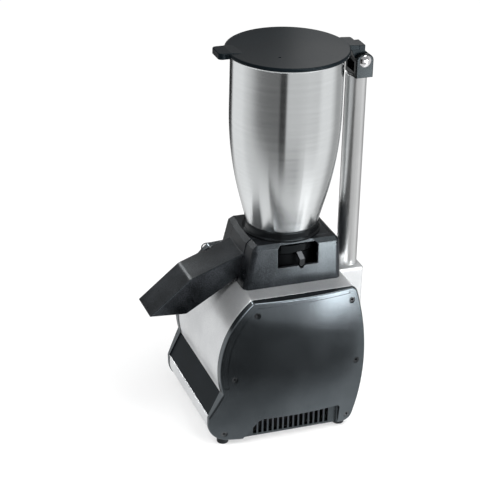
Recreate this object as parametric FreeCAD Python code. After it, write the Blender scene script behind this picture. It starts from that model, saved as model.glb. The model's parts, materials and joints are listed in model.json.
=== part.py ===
import FreeCAD, Part
import math
import os

# Electric bar ice crusher: a steel hopper stands on a crusher head, a chute carries
# the crushed ice to a glass, and a post behind the hopper carries the hinged lid.
# All lengths are in millimetres. +Z is up, the chute points to -Y, X runs across.
# Pieces are drawn about the hopper's axis. place() then moves them so that the origin
# lies on the standing surface, under the middle of the machine's length.

V = FreeCAD.Vector

# ---------------------------------------------------------------- overall reach
SPOUT_REACH = 172.0        # chute tip, in front of the hopper's axis
HOPPER_R = 66.3
POST_R = 12.8
POST_GAP = 8.5             # between the hopper and the post behind it
POST_Y = HOPPER_R + POST_GAP + POST_R
TAIL_DEPTH = 14.2          # from the post's axis to the machine's back
REAR_REACH = POST_Y + TAIL_DEPTH
HOPPER_Y = (SPOUT_REACH - REAR_REACH) / 2

# ---------------------------------------------------------------- clearances
REST_GAP = 0.3             # between pieces on different bodies at rest
RUN_GAP = 0.05             # radial gap of a shaft or pin that turns
SLIP_GAP = 0.25            # between a loose piece and the pocket that holds it
NUDGE = 1.0                # how far a cutting tool runs past a face

# ---------------------------------------------------------------- base side outline
BASE_BOTTOM_Z = 6.8
BASE_TOP_Z = 190.0
FRONT_APEX_Y = -105.2
FRONT_BOW_R = 113.0
FRONT_BOW_DROP = 87.0      # from the top edge to the bow's furthest point
FRONT_BOW_Z = BASE_TOP_Z - FRONT_BOW_DROP
REAR_APEX_Y = 80.0
REAR_BOW_R = 330.0
REAR_BOW_DROP = 90.0
REAR_BOW_Z = BASE_TOP_Z - REAR_BOW_DROP
LIP_Z = 73.6               # where the bulging front breaks back to the toe
TOE_TIP_Y = -117.0
TOE_TIP_Z = 41.0
NOSE_R = 25.0
LIP_CORNER_R = 4.0
TOE_CORNER_R = 5.0
TOP_FRONT_CORNER_R = 6.0
TOP_REAR_CORNER_R = 8.0
BOTTOM_REAR_CORNER_R = 12.0

# ---------------------------------------------------------------- casting
BODY_HALF_W = 76.7
BODY_REVEAL = 0.8          # casting stands back from the covers' outline
BODY_WALL = 4.0
BASE_PLATE_T = 2.0
BASE_PLATE_MARGIN = 4.0    # how far the plate runs up under the rounded ends
BASE_POST_H = 14.0         # the posts that take the base plate's screws
BASE_POST_INSET = (4.0, 2.0)
TOE_SEAT_T = 10.0          # thickened wall behind the toe plate
TOE_SEAT_INSET = 2.0
TOE_SEAT_LIFT = 6.0
TOE_SEAT_DROP = 4.0
TAIL_HALF_W = 21.5
TAIL_DROP = 7.4
TAIL_TOP_Z = BASE_TOP_Z - TAIL_DROP
TAIL_EDGE_R = 2.5
SHAFT_HOLE_R = 12.0
BOSS_R = 6.0
BOSS_LENGTH = 22.0
RIB_T = 4.0
RIB_LENGTH = 22.0

# ---------------------------------------------------------------- side covers
COVER_T = 22.3             # at the middle of the crowned face
COVER_CROWN_Y = -15.0
COVER_CROWN_Z = 90.0
COVER_TOE_FALL = 0.61      # share of the thickness that the crown loses at the toe
COVER_TOP_FALL = 0.45      # the same at the top edge
COVER_WALL = 2.5
COVER_EDGE_R = 2.4
GROOVE_INSET = 2.6
GROOVE_W = 3.6
GROOVE_FRONT_EXTRA = 3.0   # the groove is this much wider down the front bow
GROOVE_DEPTH = 0.9
GROOVE_END = 9.0           # where the groove stops short of the back
TOP_SCREW_DROP = 15.2
TOP_SCREW_Z = BASE_TOP_Z - TOP_SCREW_DROP
SCREW_SPOTS = [(-60.7, TOP_SCREW_Z, 120.0), (60.9, TOP_SCREW_Z, 70.0), (67.9, 94.7, 0.0),
               (60.9, 17.2, 0.0), (-88.2, 94.7, 180.0), (-97.5, 16.8, 200.0)]
COVER_BOSS_R = 8.5
SCREW_R = 2.0
SCREW_HEAD_R = 3.8
SCREW_HEAD_H = 4.0
SCREW_SINK = 5.0           # how deep the screw's seat lies below the cover's face
SCREW_LENGTH = 18.0
SOCKET_R = 1.9
SOCKET_DEPTH = 2.2
VENT_FLOOR_T = 5.8         # from the casting to the floor of the vent recess
VENT_TOP_Z = 35.3
VENT_FRONT_Y = -77.0
VENT_REAR_Y = 49.5
VENT_SLOPE_Y = 20.0        # length of the sloping front end of the recess
VENT_BEND_Y = 5.5
VENT_BEND_Z = 2.8
VENT_CORNER = 3.0
VENT_END_R = 5.0
VENT_PITCH = 6.65
VENT_SLOT_W = 4.4
VENT_FIRST_Y = -57.7
VENT_COUNT = 15
VENT_SLOT_BOTTOM_Z = 9.5
VENT_SLOT_MARGIN = 1.5

# ---------------------------------------------------------------- feet and plates
FOOT_INSET = 3.7           # from the casting's side to the foot's axis
FOOT_X = BODY_HALF_W - FOOT_INSET
FOOT_YS = (-95.4, 55.6)
FOOT_R = 7.2
FOOT_EDGE_R = 1.5
TOE_PLATE_T = 2.5
TOE_PLATE_SINK = 1.6       # below the covers' sloping edge
BASE_SCREW_R = 1.6
BASE_SCREW_HEAD_R = 3.2
BASE_SCREW_HEAD_H = 2.0
BASE_SCREW_LENGTH = 12.0
BASE_SCREW_INSET = 24.7
BASE_SCREW_X = BODY_HALF_W - BASE_SCREW_INSET

# ---------------------------------------------------------------- crusher head
HEAD_H = 53.0              # above the base's top edge
HEAD_TOP_Z = BASE_TOP_Z + HEAD_H
HEAD_BEVEL = 4.6
HEAD_TOP_HALF_W = 48.1
HEAD_TOP_FRONT_Y = -51.5
HEAD_TOP_REAR_Y = 57.0
HEAD_FOOT_HALF_W = 50.9
HEAD_FOOT_FRONT_Y = -64.2
HEAD_FOOT_REAR_Y = 60.0
HEAD_FOOT_CORNER_R = 8.0
HEAD_TOP_CORNER_R = 5.5
HEAD_WALL = 3.5
HEAD_ROOF_T = 4.0
HEAD_DRAFT = 1.5           # the wall is this much thicker at the roof
HEAD_HOLE_R = 41.0
HEAD_SCREW_X = 41.0
HEAD_SCREW_YS = (-50.0, 45.0)
HEAD_BOSS_R = 4.6
HEAD_BOSS_H = 18.0
HEAD_BOSS_CAP = 2.0
HEAD_WEB_T = 3.0
HEAD_SCREW_R = 1.7
HEAD_SCREW_HEAD_R = 3.2
HEAD_SCREW_HEAD_H = 2.6
HEAD_SCREW_LENGTH = 20.0
WINDOW_YS = (-22.3, 29.3)
WINDOW_H = 30.8
WINDOW_BOTTOM_Z = HEAD_TOP_Z - WINDOW_H
WINDOW_DEPTH = 5.0         # how far the window's notch reaches into the roof
WINDOW_CORNER = 5.8        # the window's slanting upper corners
DETENT_Y = 8.3
DETENT_TOP_W = 7.3
DETENT_LOW_W = 3.5
DETENT_DEPTH = 3.9
SEAM_W = 0.4               # the dark joint between the chute's wall and the housing
PAD_HALF_X = 36.0
PAD_YS = (-28.0, 49.0)
PAD_CORNER_R = 6.0
PAD_LINE_W = 0.6
PAD_LINE_DEPTH = 0.5

# ---------------------------------------------------------------- chute
SPOUT_HALF_W = 25.0
SPOUT_WALL = 2.5
SPOUT_ROOT_DROP = 16.0     # the chute's top edge below the head's top
SPOUT_ROOT_LIFT = 3.5      # the chute's underside above the base
SPOUT_ROOT_TOP_Z = HEAD_TOP_Z - SPOUT_ROOT_DROP
SPOUT_ROOT_BOTTOM_Z = BASE_TOP_Z + SPOUT_ROOT_LIFT
SPOUT_BEND_Y = -122.5
SPOUT_BEND_LIFT = 10.0
SPOUT_BEND_Z = BASE_TOP_Z + SPOUT_BEND_LIFT
SPOUT_BEND_R = 16.0
SPOUT_TIP_DROP = 32.0
SPOUT_TIP_Z = BASE_TOP_Z - SPOUT_TIP_DROP
SPOUT_LIP_Y = -127.0
SPOUT_LIP_DROP = 35.0
SPOUT_LIP_Z = BASE_TOP_Z - SPOUT_LIP_DROP
SPOUT_LIP_R = 6.0
SPOUT_EDGE_R = 2.0
SPOUT_ROOT_Y = HEAD_FOOT_FRONT_Y + 8.0
SPOUT_MOUTH_DEPTH = 10.0   # how far the hollow's tool runs below the lip
THROAT_RISE = 2.0          # the throat's roof above the chamber's outlet
THROAT_FRONT_Y = HEAD_FOOT_FRONT_Y + 3.0
INSERT_HALF_W = 23.5
INSERT_BOW = 1.6           # the chute's wall stands this far proud of the housing
INSERT_BACK_Y = -38.0
CLIP_WIRE_R = 0.8
CLIP_X = -29.0
CLIP_YS = (-91.0, -66.0)
CLIP_LIFT = 14.0           # the wire's lower end above the base
CLIP_H = 14.0
CLIP_BOTTOM_Z = BASE_TOP_Z + CLIP_LIFT
CLIP_TOP_Z = CLIP_BOTTOM_Z + CLIP_H
CLIP_BEND_R = 5.0

# ---------------------------------------------------------------- crusher chamber
CHAMBER_R = 36.5
CHAMBER_WALL = 3.5
CHAMBER_FLOOR_T = 3.0
CHAMBER_DROP = 19.0        # below the head's top
CHAMBER_TOP_Z = HEAD_TOP_Z - CHAMBER_DROP
OUTLET_HALF_W = 20.0
OUTLET_DROP = 29.0
OUTLET_TOP_Z = HEAD_TOP_Z - OUTLET_DROP
DISC_R = 35.0
DISC_T = 4.0
DISC_LIFT = 1.5            # disc above the chamber's floor
BLADE_COUNT = 4
BLADE_DROP = 28.5
BLADE_TOP_Z = HEAD_TOP_Z - BLADE_DROP
BLADE_T = 5.0
BLADE_SWEEP = 28.0         # degrees between a blade's root and its tip
BLADE_GAP = 1.5            # between the blades' tips and the disc's edge
HUB_R = 11.0
HUB_DROP = 4.0             # the hub's top below the blades' tops
COMB_T = 5.0
COMB_RING_W = 4.0
COMB_TEETH = 6
COMB_TOOTH_R = 17.0
COMB_TOOTH_W = 12.0
HUB_NUT_R = 7.5
HUB_NUT_H = 9.0
HUB_NUT_DOME_R = 4.0
HUB_NUT_CAP = 3.0
SEAL_R = 11.0

# ---------------------------------------------------------------- grain-size lever
RING_R = 39.2
RING_BORE = 36.8
RING_DROP = 6.0
RING_TOP_Z = HEAD_TOP_Z - RING_DROP
LUG_R = 44.0
LUG_H = 8.8
LUG_ANGLE = 6.5
LUG_SPREAD = 27.5
LEVER_ANGLE = 9.0
LEVER_W = 7.0
LEVER_T = 2.6
LEVER_ROOT_R = 40.6
LEVER_BEND_R = 43.6        # where the bar leaves the lug's underside
LEVER_TIP_R = 52.0
LEVER_SLOPE_H = 6.2
LEVER_H = 15.4             # from the lug down to the lever's tip
LEVER_TIP_ROUND = 3.0

# ---------------------------------------------------------------- hopper
LID_TOP_Z = 471.0          # the machine's full height, at the lid's finger tab
HOPPER_WALL = 1.5
RIM_DROP = 5.2             # the hopper's rim below the full height
HOPPER_RIM_Z = LID_TOP_Z - RIM_DROP
HOPPER_LIFT = 7.0          # the hopper's foot above the head
HOPPER_BOTTOM_Z = HEAD_TOP_Z + HOPPER_LIFT
HOPPER_FOOT_R = 42.7
CONE_TOP_R = 51.7
CONE_H = 34.0              # straight cone at the foot
CONE_TOP_Z = HOPPER_BOTTOM_Z + CONE_H
CYLINDER_H = 70.8          # straight cylinder below the rim, above the curved flank
FLANK_TOP_Z = HOPPER_RIM_Z - CYLINDER_H
RIM_BEAD_R = 1.6
NECK_R = 38.0
COLLAR_FLANGE_R = 47.2
COLLAR_FLANGE_T = 3.0
COLLAR_R = 45.4
COLLAR_EDGE = 0.8
COLLAR_FILLET = 0.6
COLLAR_H = 11.0
COLLAR_TOP_Z = HEAD_TOP_Z + COLLAR_H

# ---------------------------------------------------------------- post and lid
POST_WALL = 2.5
POST_SOCKET = 40.0
HINGE_SETBACK = 3.5        # the hinge pin behind the post's axis
HINGE_DROP = 21.8
HINGE_Y = POST_Y + HINGE_SETBACK
HINGE_Z = LID_TOP_Z - HINGE_DROP
BRACKET_HALF_W = 16.5
BRACKET_FRONT = 11.3       # from the pin to the fork's front
BRACKET_FRONT_Y = HINGE_Y - BRACKET_FRONT
BRACKET_H = 28.3
EAR_T = 6.0
EAR_H = 22.3
EAR_RISE = 8.1             # the ears' tops above the pin
EAR_TOP_Z = HINGE_Z + EAR_RISE
EAR_CORNER_R = 8.0
EAR_EDGE_R = 1.5
BRACKET_BOTTOM_Z = EAR_TOP_Z - BRACKET_H
BRACKET_GAP_Z = EAR_TOP_Z - EAR_H
PLUG_H = 20.0
REED_R = 2.5
REED_H = 16.0
PIN_R = 3.0
PIN_HEAD_R = 7.3
PIN_HEAD_T = 2.6
PIN_DOME_R = 12.0
KNUCKLE_R = 9.6
LID_OVERHANG = 6.8         # the lid's edge beyond the hopper
LID_R = HOPPER_R + LID_OVERHANG
LID_RIM_DROP = 0.8
LID_RIM_Z = LID_TOP_Z - LID_RIM_DROP
LID_GAP = 0.6              # between the hopper's rim and the lid's skirt
LID_SKIRT_Z = HOPPER_RIM_Z + LID_GAP
LID_DISH = 2.0
LID_EDGE_R = 2.2
LID_SKIRT_T = 2.6
LID_SKIRT_R = LID_R - LID_SKIRT_T
LID_DISC_GAP = 5.3         # from the hopper's outside to the disc that dips into it
LID_DISC_R = HOPPER_R - LID_DISC_GAP
LID_DISC_H = 3.2
LID_DISC_Z = LID_SKIRT_Z - LID_DISC_H
SEAL_RING_W = 6.0
SEAL_RING_T = 1.6
SEAL_DROP = 0.3            # the seal's seat above the skirt's lower edge
ARM_HALF_W = 15.0
ARM_T = 6.4
ARM_LOW_Z = LID_RIM_Z - ARM_T
ARM_END = 6.6              # the arm stops this far in front of the pin
ARM_REAR_Y = HINGE_Y - ARM_END
ARM_FALL = 1.0             # how far the arm slopes down to its rear end
ARM_CORNER_R = 2.0
BLOCK_DROP = 3.2
BLOCK_TOP_Z = LID_RIM_Z - BLOCK_DROP
BLOCK_END = 1.6
BLOCK_REAR_Y = HINGE_Y + BLOCK_END
TAB_XS = (-24.2, 4.2)      # the lid's finger tab, left of the middle
TAB_OVERHANG = 11.4        # the tab's tip beyond the lid's edge
TAB_TIP_Y = -LID_R - TAB_OVERHANG
TAB_BEND = 3.1             # inside the lid's edge, where the tab's top starts to fall
TAB_FALL_Y = TAB_BEND - LID_R
TAB_TAIL = 22.0
TAB_END_Y = TAB_FALL_Y + TAB_TAIL
TAB_T = 7.0
TAB_LOW_Z = LID_TOP_Z - TAB_T
TAB_CORNER_R = 5.0
TAB_EDGE_R = 1.2
TAB_FLARE = 5.0
TAB_FLARE_Y = 7.0          # length of the flare outside the bend
TAB_FLARE_STEP = 0.6       # the flare stands back from the tab's underside and top
MAGNET_R = 1.6
MAGNET_LENGTH = 4.0
DIMPLE_X = 26.2
DIMPLE_Y = -19.7
DIMPLE_R = 1.6

# ---------------------------------------------------------------- motor
MOTOR_R = 48.0
MOTOR_SHELL_T = 3.0
MOTOR_H = 119.2            # from the casting's top wall down
BELL_T = 11.0
BELL_FLOOR_T = 2.0
BELL_HOLES = 6
BELL_HOLE_R = 7.0
BELL_SHAFT_GAP = 2.0
STATOR_TOP_DROP = 27.2     # below the motor's top face
STATOR_H = 76.0
WINDING_INSET = 5.0        # the winding heads inside the stator pack's outline
WINDING_GAP = 2.0
WINDING_LOW = 4.0
WINDING_HIGH = 3.0
STATOR_BORE = 28.4
ROTOR_R = 27.6
ROTOR_OVERHANG = 4.0
SHAFT_R = 6.0
SHAFT_TAIL = 24.0          # the shaft's end below the motor
BEARING_R = 14.0
BEARING_T = 8.0
FAN_R = 40.0
FAN_DROP = 8.0             # the fan's top below the motor
FAN_H = 12.0
FAN_BLADES = 7
FAN_BLADE_T = 2.0
FAN_HUB_R = 10.0
FAN_DISC_T = 1.5
MOTOR_BOLT_R = 2.0
MOTOR_BOLT_CIRCLE = 44.2
MOTOR_BOLT_HEAD_R = 3.4
MOTOR_BOLT_HEAD_H = 2.5
MOTOR_BOLT_LENGTH = 12.0
CAPACITOR_R = 15.0
CAPACITOR_LENGTH = 68.0
CAPACITOR_Y = -72.0
SADDLE_HALF_X = 24.0
SADDLE_HALF_Y = 14.0
SADDLE_T = 4.0

# ---------------------------------------------------------------- power inlet
INLET_INSET = 28.7         # from the casting's side to the switch and to the gland
SWITCH_X = INLET_INSET - BODY_HALF_W
SWITCH_Z = REAR_BOW_Z
SWITCH_HALF_X = 7.5
SWITCH_HALF_Z = 10.5
SWITCH_BEZEL = 2.0
SWITCH_BEZEL_T = 1.6
SWITCH_DEPTH = 14.0
ROCKER_HALF_X = 5.6
ROCKER_HALF_Z = 8.2
ROCKER_PIVOT_DEPTH = 4.0
ROCKER_TILT = 9.0
ROCKER_PROUD = 0.6         # the rocker's two lips in front of the bezel
ROCKER_DIP = 0.4
ROCKER_END = 0.9
ROCKER_FOOT = 2.4
ROCKER_FOOT_T = 1.5
ROCKER_GAP_Z = 0.8
SWITCH_FLOOR_T = 2.0
SWITCH_CORNER_R = 1.5
GLAND_X = BODY_HALF_W - INLET_INSET
GLAND_Z = REAR_BOW_Z
GLAND_R = 7.0
GLAND_FLANGE_R = 9.5
GLAND_FLANGE_T = 3.0
GLAND_LENGTH = 9.0
GLAND_TAPER = 1.6
GLAND_BORE = 3.6


# ================================================================ basic shapes
def box(xs, ys, zs):
    """A box between two x, two y and two z values."""
    size = (xs[1] - xs[0], ys[1] - ys[0], zs[1] - zs[0])
    return Part.makeBox(size[0], size[1], size[2], V(xs[0], ys[0], zs[0]))


def rod(radius, start, end):
    """A cylinder from one point to another."""
    line = end.sub(start)
    return Part.makeCylinder(radius, line.Length, start, line)


def disc(radius, z0, z1, x=0.0, y=0.0):
    """An upright cylinder."""
    return rod(radius, V(x, y, z0), V(x, y, z1))


def ring(outer, inner, z0, z1):
    """A plain ring about the hopper's axis."""
    return disc(outer, z0, z1).cut(disc(inner, z0 - NUDGE, z1 + NUDGE))


def turned(edges):
    """A solid of revolution about the Z axis from edges in the XZ plane."""
    face = Part.Face(Part.Wire(edges))
    return face.revolve(V(0, 0, 0), V(0, 0, 1), 360)


def chain(points):
    """Straight edges through the points and back to the first."""
    ends = points[1:] + points[:1]
    return [Part.makeLine(a, b) for a, b in zip(points, ends)]


def plate(points, along):
    """A flat polygon pushed along a vector."""
    return Part.Face(Part.Wire(chain(points))).extrude(along)


def fused(shapes):
    """One solid out of several that touch or overlap."""
    return shapes[0].multiFuse(shapes[1:]).removeSplitter()


def group(shapes):
    """Separate solids that share one node."""
    return Part.makeCompound(shapes)


def runs_along(edge, direction):
    """True for a straight edge parallel to a direction."""
    if not isinstance(edge.Curve, Part.Line):
        return False
    return abs(abs(edge.tangentAt(edge.FirstParameter).dot(direction)) - 1) < 1e-6


def round_edges(shape, radius, wanted):
    """Fillets every edge that the test picks."""
    return shape.makeFillet(radius, [edge for edge in shape.Edges if wanted(edge)])


def mirrored(shape):
    """The same piece on the other side of the machine."""
    return shape.mirror(V(0, 0, 0), V(1, 0, 0))


# ================================================================ base outline
def front_y(z):
    """The bulging front's Y at a height."""
    rise = z - FRONT_BOW_Z
    return FRONT_APEX_Y + FRONT_BOW_R - math.sqrt(FRONT_BOW_R ** 2 - rise ** 2)


def rear_y(z):
    """The bowed back's Y at a height."""
    rise = z - REAR_BOW_Z
    return REAR_APEX_Y - REAR_BOW_R + math.sqrt(REAR_BOW_R ** 2 - rise ** 2)


def outline_corners():
    """The outline's corners as (y, z, radius), the ones that get a rounding."""
    return [(rear_y(BASE_BOTTOM_Z), BASE_BOTTOM_Z, BOTTOM_REAR_CORNER_R),
            (rear_y(BASE_TOP_Z), BASE_TOP_Z, TOP_REAR_CORNER_R),
            (front_y(BASE_TOP_Z), BASE_TOP_Z, TOP_FRONT_CORNER_R),
            (front_y(LIP_Z), LIP_Z, LIP_CORNER_R),
            (TOE_TIP_Y, TOE_TIP_Z, TOE_CORNER_R)]


def outline_face(x):
    """The covers' side outline as a face, with sharp corners."""
    middle_z = (BASE_BOTTOM_Z + BASE_TOP_Z) / 2
    bulge_z = (LIP_Z + BASE_TOP_Z) / 2
    toe_z = BASE_BOTTOM_Z + NOSE_R
    nose_y = TOE_TIP_Y + NOSE_R
    slant = NOSE_R * math.sqrt(0.5)
    bottom_front = V(x, nose_y, BASE_BOTTOM_Z)
    bottom_rear = V(x, rear_y(BASE_BOTTOM_Z), BASE_BOTTOM_Z)
    top_rear = V(x, rear_y(BASE_TOP_Z), BASE_TOP_Z)
    top_front = V(x, front_y(BASE_TOP_Z), BASE_TOP_Z)
    lip = V(x, front_y(LIP_Z), LIP_Z)
    toe_tip = V(x, TOE_TIP_Y, TOE_TIP_Z)
    toe_low = V(x, TOE_TIP_Y, toe_z)
    edges = [Part.makeLine(bottom_front, bottom_rear),
             Part.Arc(bottom_rear, V(x, rear_y(middle_z), middle_z), top_rear).toShape(),
             Part.makeLine(top_rear, top_front),
             Part.Arc(top_front, V(x, front_y(bulge_z), bulge_z), lip).toShape(),
             Part.makeLine(lip, toe_tip),
             Part.makeLine(toe_tip, toe_low),
             Part.Arc(toe_low, V(x, nose_y - slant, toe_z - slant), bottom_front).toShape()]
    return Part.Face(Part.Wire(edges))


def outline_prism(x0, x1, inset=0.0):
    """The outline, drawn in by an inset, as a solid across the machine."""
    solid = outline_face(x0).extrude(V(x1 - x0, 0, 0))
    for y, z, radius in outline_corners():
        at_corner = lambda e: (runs_along(e, V(1, 0, 0))
                               and abs(e.CenterOfMass.y - y) < 0.01
                               and abs(e.CenterOfMass.z - z) < 0.01)
        solid = round_edges(solid, radius, at_corner)
    if inset == 0.0:
        return solid
    side = min(solid.Faces, key=lambda f: f.CenterOfMass.x)
    wire = side.OuterWire.makeOffset2D(-inset)
    return Part.Face(wire).extrude(V(x1 - x0, 0, 0))


def slope_direction():
    """Unit vector down the toe's slope, in the YZ plane."""
    return V(0, TOE_TIP_Y - front_y(LIP_Z), TOE_TIP_Z - LIP_Z).normalize()


# ================================================================ base pieces
def make_toe_plate():
    """The dark panel on the toe's slope, a little below the covers' edges."""
    down = slope_direction()
    inward = V(0, -down.z, down.y)
    left = V(-BODY_HALF_W, 0, 0)
    top = V(0, front_y(LIP_Z), LIP_Z) + down + inward * TOE_PLATE_SINK + left
    low = V(0, TOE_TIP_Y, TOE_TIP_Z) - down + inward * TOE_PLATE_SINK + left
    depth = inward * TOE_PLATE_T
    return plate([top, low, low + depth, top + depth], V(2 * BODY_HALF_W, 0, 0))


def toe_pocket():
    """Everything in front of the toe plate's seat, down the whole slope."""
    down = slope_direction()
    inward = V(0, -down.z, down.y)
    lip = V(0, front_y(LIP_Z), LIP_Z)
    toe = V(0, TOE_TIP_Y, TOE_TIP_Z)
    seat = inward * (TOE_PLATE_SINK + TOE_PLATE_T)
    out = inward * -NOSE_R
    width = BODY_HALF_W + NUDGE
    shift = V(-width, 0, 0)
    top = lip + down * NUDGE
    low = toe - down * NUDGE
    corners = [top + out + shift, low + out + shift, low + seat + shift, top + seat + shift]
    return plate(corners, V(2 * width, 0, 0))


def cover_boss(y, z, angle):
    """A screw boss inside the casting, with a rib towards the nearest wall."""
    inner_x = BODY_HALF_W - BOSS_LENGTH
    boss = rod(BOSS_R, V(inner_x, y, z), V(BODY_HALF_W, y, z))
    rib = box((inner_x, BODY_HALF_W), (0, RIB_LENGTH), (-RIB_T / 2, RIB_T / 2))
    rib.rotate(V(0, 0, 0), V(1, 0, 0), angle)
    rib.translate(V(0, y, z))
    return boss.fuse(rib)


def base_screw_spots():
    """Where the base plate's screws go: two in the toe, two at the back."""
    front = TOE_TIP_Y + NOSE_R + BASE_POST_INSET[0]
    rear = rear_y(BASE_BOTTOM_Z) - BOTTOM_REAR_CORNER_R - BASE_POST_INSET[1]
    return [(x, y) for x in (-BASE_SCREW_X, BASE_SCREW_X) for y in (front, rear)]


def make_body_casting():
    """The aluminium casting: front, top and back walls, with the tail block."""
    plate_top = BASE_BOTTOM_Z + BASE_PLATE_T
    outer = outline_prism(-BODY_HALF_W, BODY_HALF_W, BODY_REVEAL)
    hollow = outline_prism(-BODY_HALF_W, BODY_HALF_W, BODY_REVEAL + BODY_WALL)
    nose_y = TOE_TIP_Y + NOSE_R
    well = box((-BODY_HALF_W, BODY_HALF_W), (nose_y, rear_y(BASE_BOTTOM_Z) - BOTTOM_REAR_CORNER_R),
               (BASE_BOTTOM_Z - NUDGE, BASE_BOTTOM_Z + 4 * BODY_WALL))
    seat_top = V(-BODY_HALF_W, front_y(LIP_Z) + TOE_SEAT_INSET, LIP_Z + TOE_SEAT_LIFT)
    seat_low = V(-BODY_HALF_W, TOE_TIP_Y + TOE_SEAT_INSET, TOE_TIP_Z - TOE_SEAT_DROP)
    seat_back = V(0, TOE_SEAT_T, 0)
    seat = plate([seat_top, seat_low, seat_low + seat_back, seat_top + seat_back],
                 V(2 * BODY_HALF_W, 0, 0))
    shell = outer.cut(hollow).fuse(seat.common(outer)).cut(toe_pocket()).cut(well)
    tail = box((-TAIL_HALF_W, TAIL_HALF_W), (POST_Y - 2 * BODY_WALL, REAR_REACH),
               (BASE_BOTTOM_Z, TAIL_TOP_Z))
    tail = tail.fuse(box((-TAIL_HALF_W, TAIL_HALF_W),
                         (rear_y(BASE_BOTTOM_Z) - BODY_WALL, POST_Y), (BASE_BOTTOM_Z, TAIL_TOP_Z)))
    tail = tail.removeSplitter()
    tail = round_edges(tail, TAIL_EDGE_R,
                       lambda e: runs_along(e, V(0, 0, 1)) and e.CenterOfMass.y > POST_Y)
    bosses = []
    for y, z, angle in SCREW_SPOTS:
        boss = cover_boss(y, z, angle)
        bosses.append(boss.common(outer))
        bosses.append(mirrored(boss).common(outer))
    for x, y in base_screw_spots():
        post = disc(BOSS_R, plate_top, plate_top + BASE_POST_H, x, y)
        wall_y = TOE_TIP_Y if y < 0 else REAR_APEX_Y
        ys = (min(y, wall_y), max(y, wall_y))
        web = box((x - RIB_T / 2, x + RIB_T / 2), ys, (plate_top, plate_top + BASE_POST_H))
        bosses.append(post.fuse(web).common(outer))
    body = fused([shell, tail] + bosses)
    core_half = TAIL_HALF_W - BODY_WALL
    core_top = TAIL_TOP_Z - POST_SOCKET - BODY_WALL
    cuts = [box((-core_half, core_half), (rear_y(BASE_BOTTOM_Z) - 2 * BODY_WALL, REAR_REACH - BODY_WALL),
                (BASE_BOTTOM_Z - NUDGE, core_top)),
            box((-2 * BODY_HALF_W, 2 * BODY_HALF_W), (-SPOUT_REACH, SPOUT_REACH),
                (0, plate_top)),
            disc(POST_R, TAIL_TOP_Z - POST_SOCKET, TAIL_TOP_Z + NUDGE, 0, POST_Y),
            disc(SHAFT_HOLE_R, BASE_TOP_Z - 4 * BODY_WALL, BASE_TOP_Z + NUDGE)]
    for y, z, _ in SCREW_SPOTS:
        depth = SCREW_LENGTH
        for side in (-1, 1):
            start = V(side * (BODY_HALF_W + NUDGE), y, z)
            cuts.append(rod(SCREW_R, start, V(side * (BODY_HALF_W - depth), y, z)))
    for x, y in base_screw_spots():
        cuts.append(disc(BASE_SCREW_R, plate_top - NUDGE, plate_top + BASE_SCREW_LENGTH, x, y))
    for x, y in head_screw_spots():
        cuts.append(disc(HEAD_SCREW_R, BASE_TOP_Z - 4 * BODY_WALL, BASE_TOP_Z + NUDGE, x, y))
    for x, y in motor_bolt_spots():
        cuts.append(disc(MOTOR_BOLT_R, BASE_TOP_Z - 4 * BODY_WALL, BASE_TOP_Z + NUDGE, x, y))
    cuts.append(switch_body(SLIP_GAP))
    cuts.append(rod(GLAND_R + SLIP_GAP, V(GLAND_X, REAR_APEX_Y - 2 * BODY_WALL, GLAND_Z),
                    V(GLAND_X, REAR_APEX_Y + NUDGE, GLAND_Z)))
    for cut in cuts:
        body = body.cut(cut)
    return body.removeSplitter()


def make_base_plate():
    """The steel plate that closes the casting from below."""
    top = BASE_BOTTOM_Z + BASE_PLATE_T
    front = TOE_TIP_Y + NOSE_R - BASE_PLATE_MARGIN
    rear = rear_y(BASE_BOTTOM_Z) - BOTTOM_REAR_CORNER_R + BASE_PLATE_MARGIN
    slab = box((-BODY_HALF_W, BODY_HALF_W), (front, rear), (BASE_BOTTOM_Z, top))
    tail = box((-TAIL_HALF_W, TAIL_HALF_W), (0, REAR_REACH - BODY_WALL / 2), (BASE_BOTTOM_Z, top))
    slab = slab.fuse(tail).removeSplitter()
    for x, y in base_screw_spots():
        slab = slab.cut(disc(BASE_SCREW_R, 0, 2 * top, x, y))
    return slab


def make_base_screws():
    """Pan-head screws up through the base plate."""
    screws = []
    under = BASE_BOTTOM_Z
    for x, y in base_screw_spots():
        head = disc(BASE_SCREW_HEAD_R, under - BASE_SCREW_HEAD_H, under, x, y)
        shank = disc(BASE_SCREW_R, under, under + BASE_SCREW_LENGTH, x, y)
        screws.append(head.fuse(shank).removeSplitter())
    return group(screws)


def make_rubber_feet():
    """Four round rubber feet with a rounded lower edge."""
    feet = []
    for x in (-FOOT_X, FOOT_X):
        for y in FOOT_YS:
            foot = disc(FOOT_R, 0, BASE_BOTTOM_Z, x, y)
            foot = round_edges(foot, FOOT_EDGE_R, lambda e: e.CenterOfMass.z < 0.01)
            feet.append(foot)
    return group(feet)


def vent_corners(x, grow=0.0):
    """The vent recess as seen from the side, open below."""
    low = BASE_BOTTOM_Z - 2 * NUDGE
    top = VENT_TOP_Z + grow
    front = VENT_FRONT_Y - grow
    rear = VENT_REAR_Y + grow
    bend = front + VENT_SLOPE_Y
    return [V(x, front, low), V(x, rear, low), V(x, rear, top - VENT_CORNER), V(x, rear - VENT_CORNER, top),
            V(x, bend + VENT_BEND_Y, top), V(x, bend, top - VENT_BEND_Z)]


def crown_radii():
    """The radii of the cover's crown across the machine's length and over its height."""
    toe = TOE_TIP_Y - COVER_CROWN_Y
    top = BASE_TOP_Z - COVER_CROWN_Z
    return toe ** 2 / (2 * COVER_TOE_FALL * COVER_T), top ** 2 / (2 * COVER_TOP_FALL * COVER_T)


def cover_face_x(y, z):
    """The crowned face's X at a place."""
    length_r, height_r = crown_radii()
    radius = length_r - height_r + math.sqrt(height_r ** 2 - (z - COVER_CROWN_Z) ** 2)
    return BODY_HALF_W + COVER_T - length_r + math.sqrt(radius ** 2 - (y - COVER_CROWN_Y) ** 2)


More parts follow.
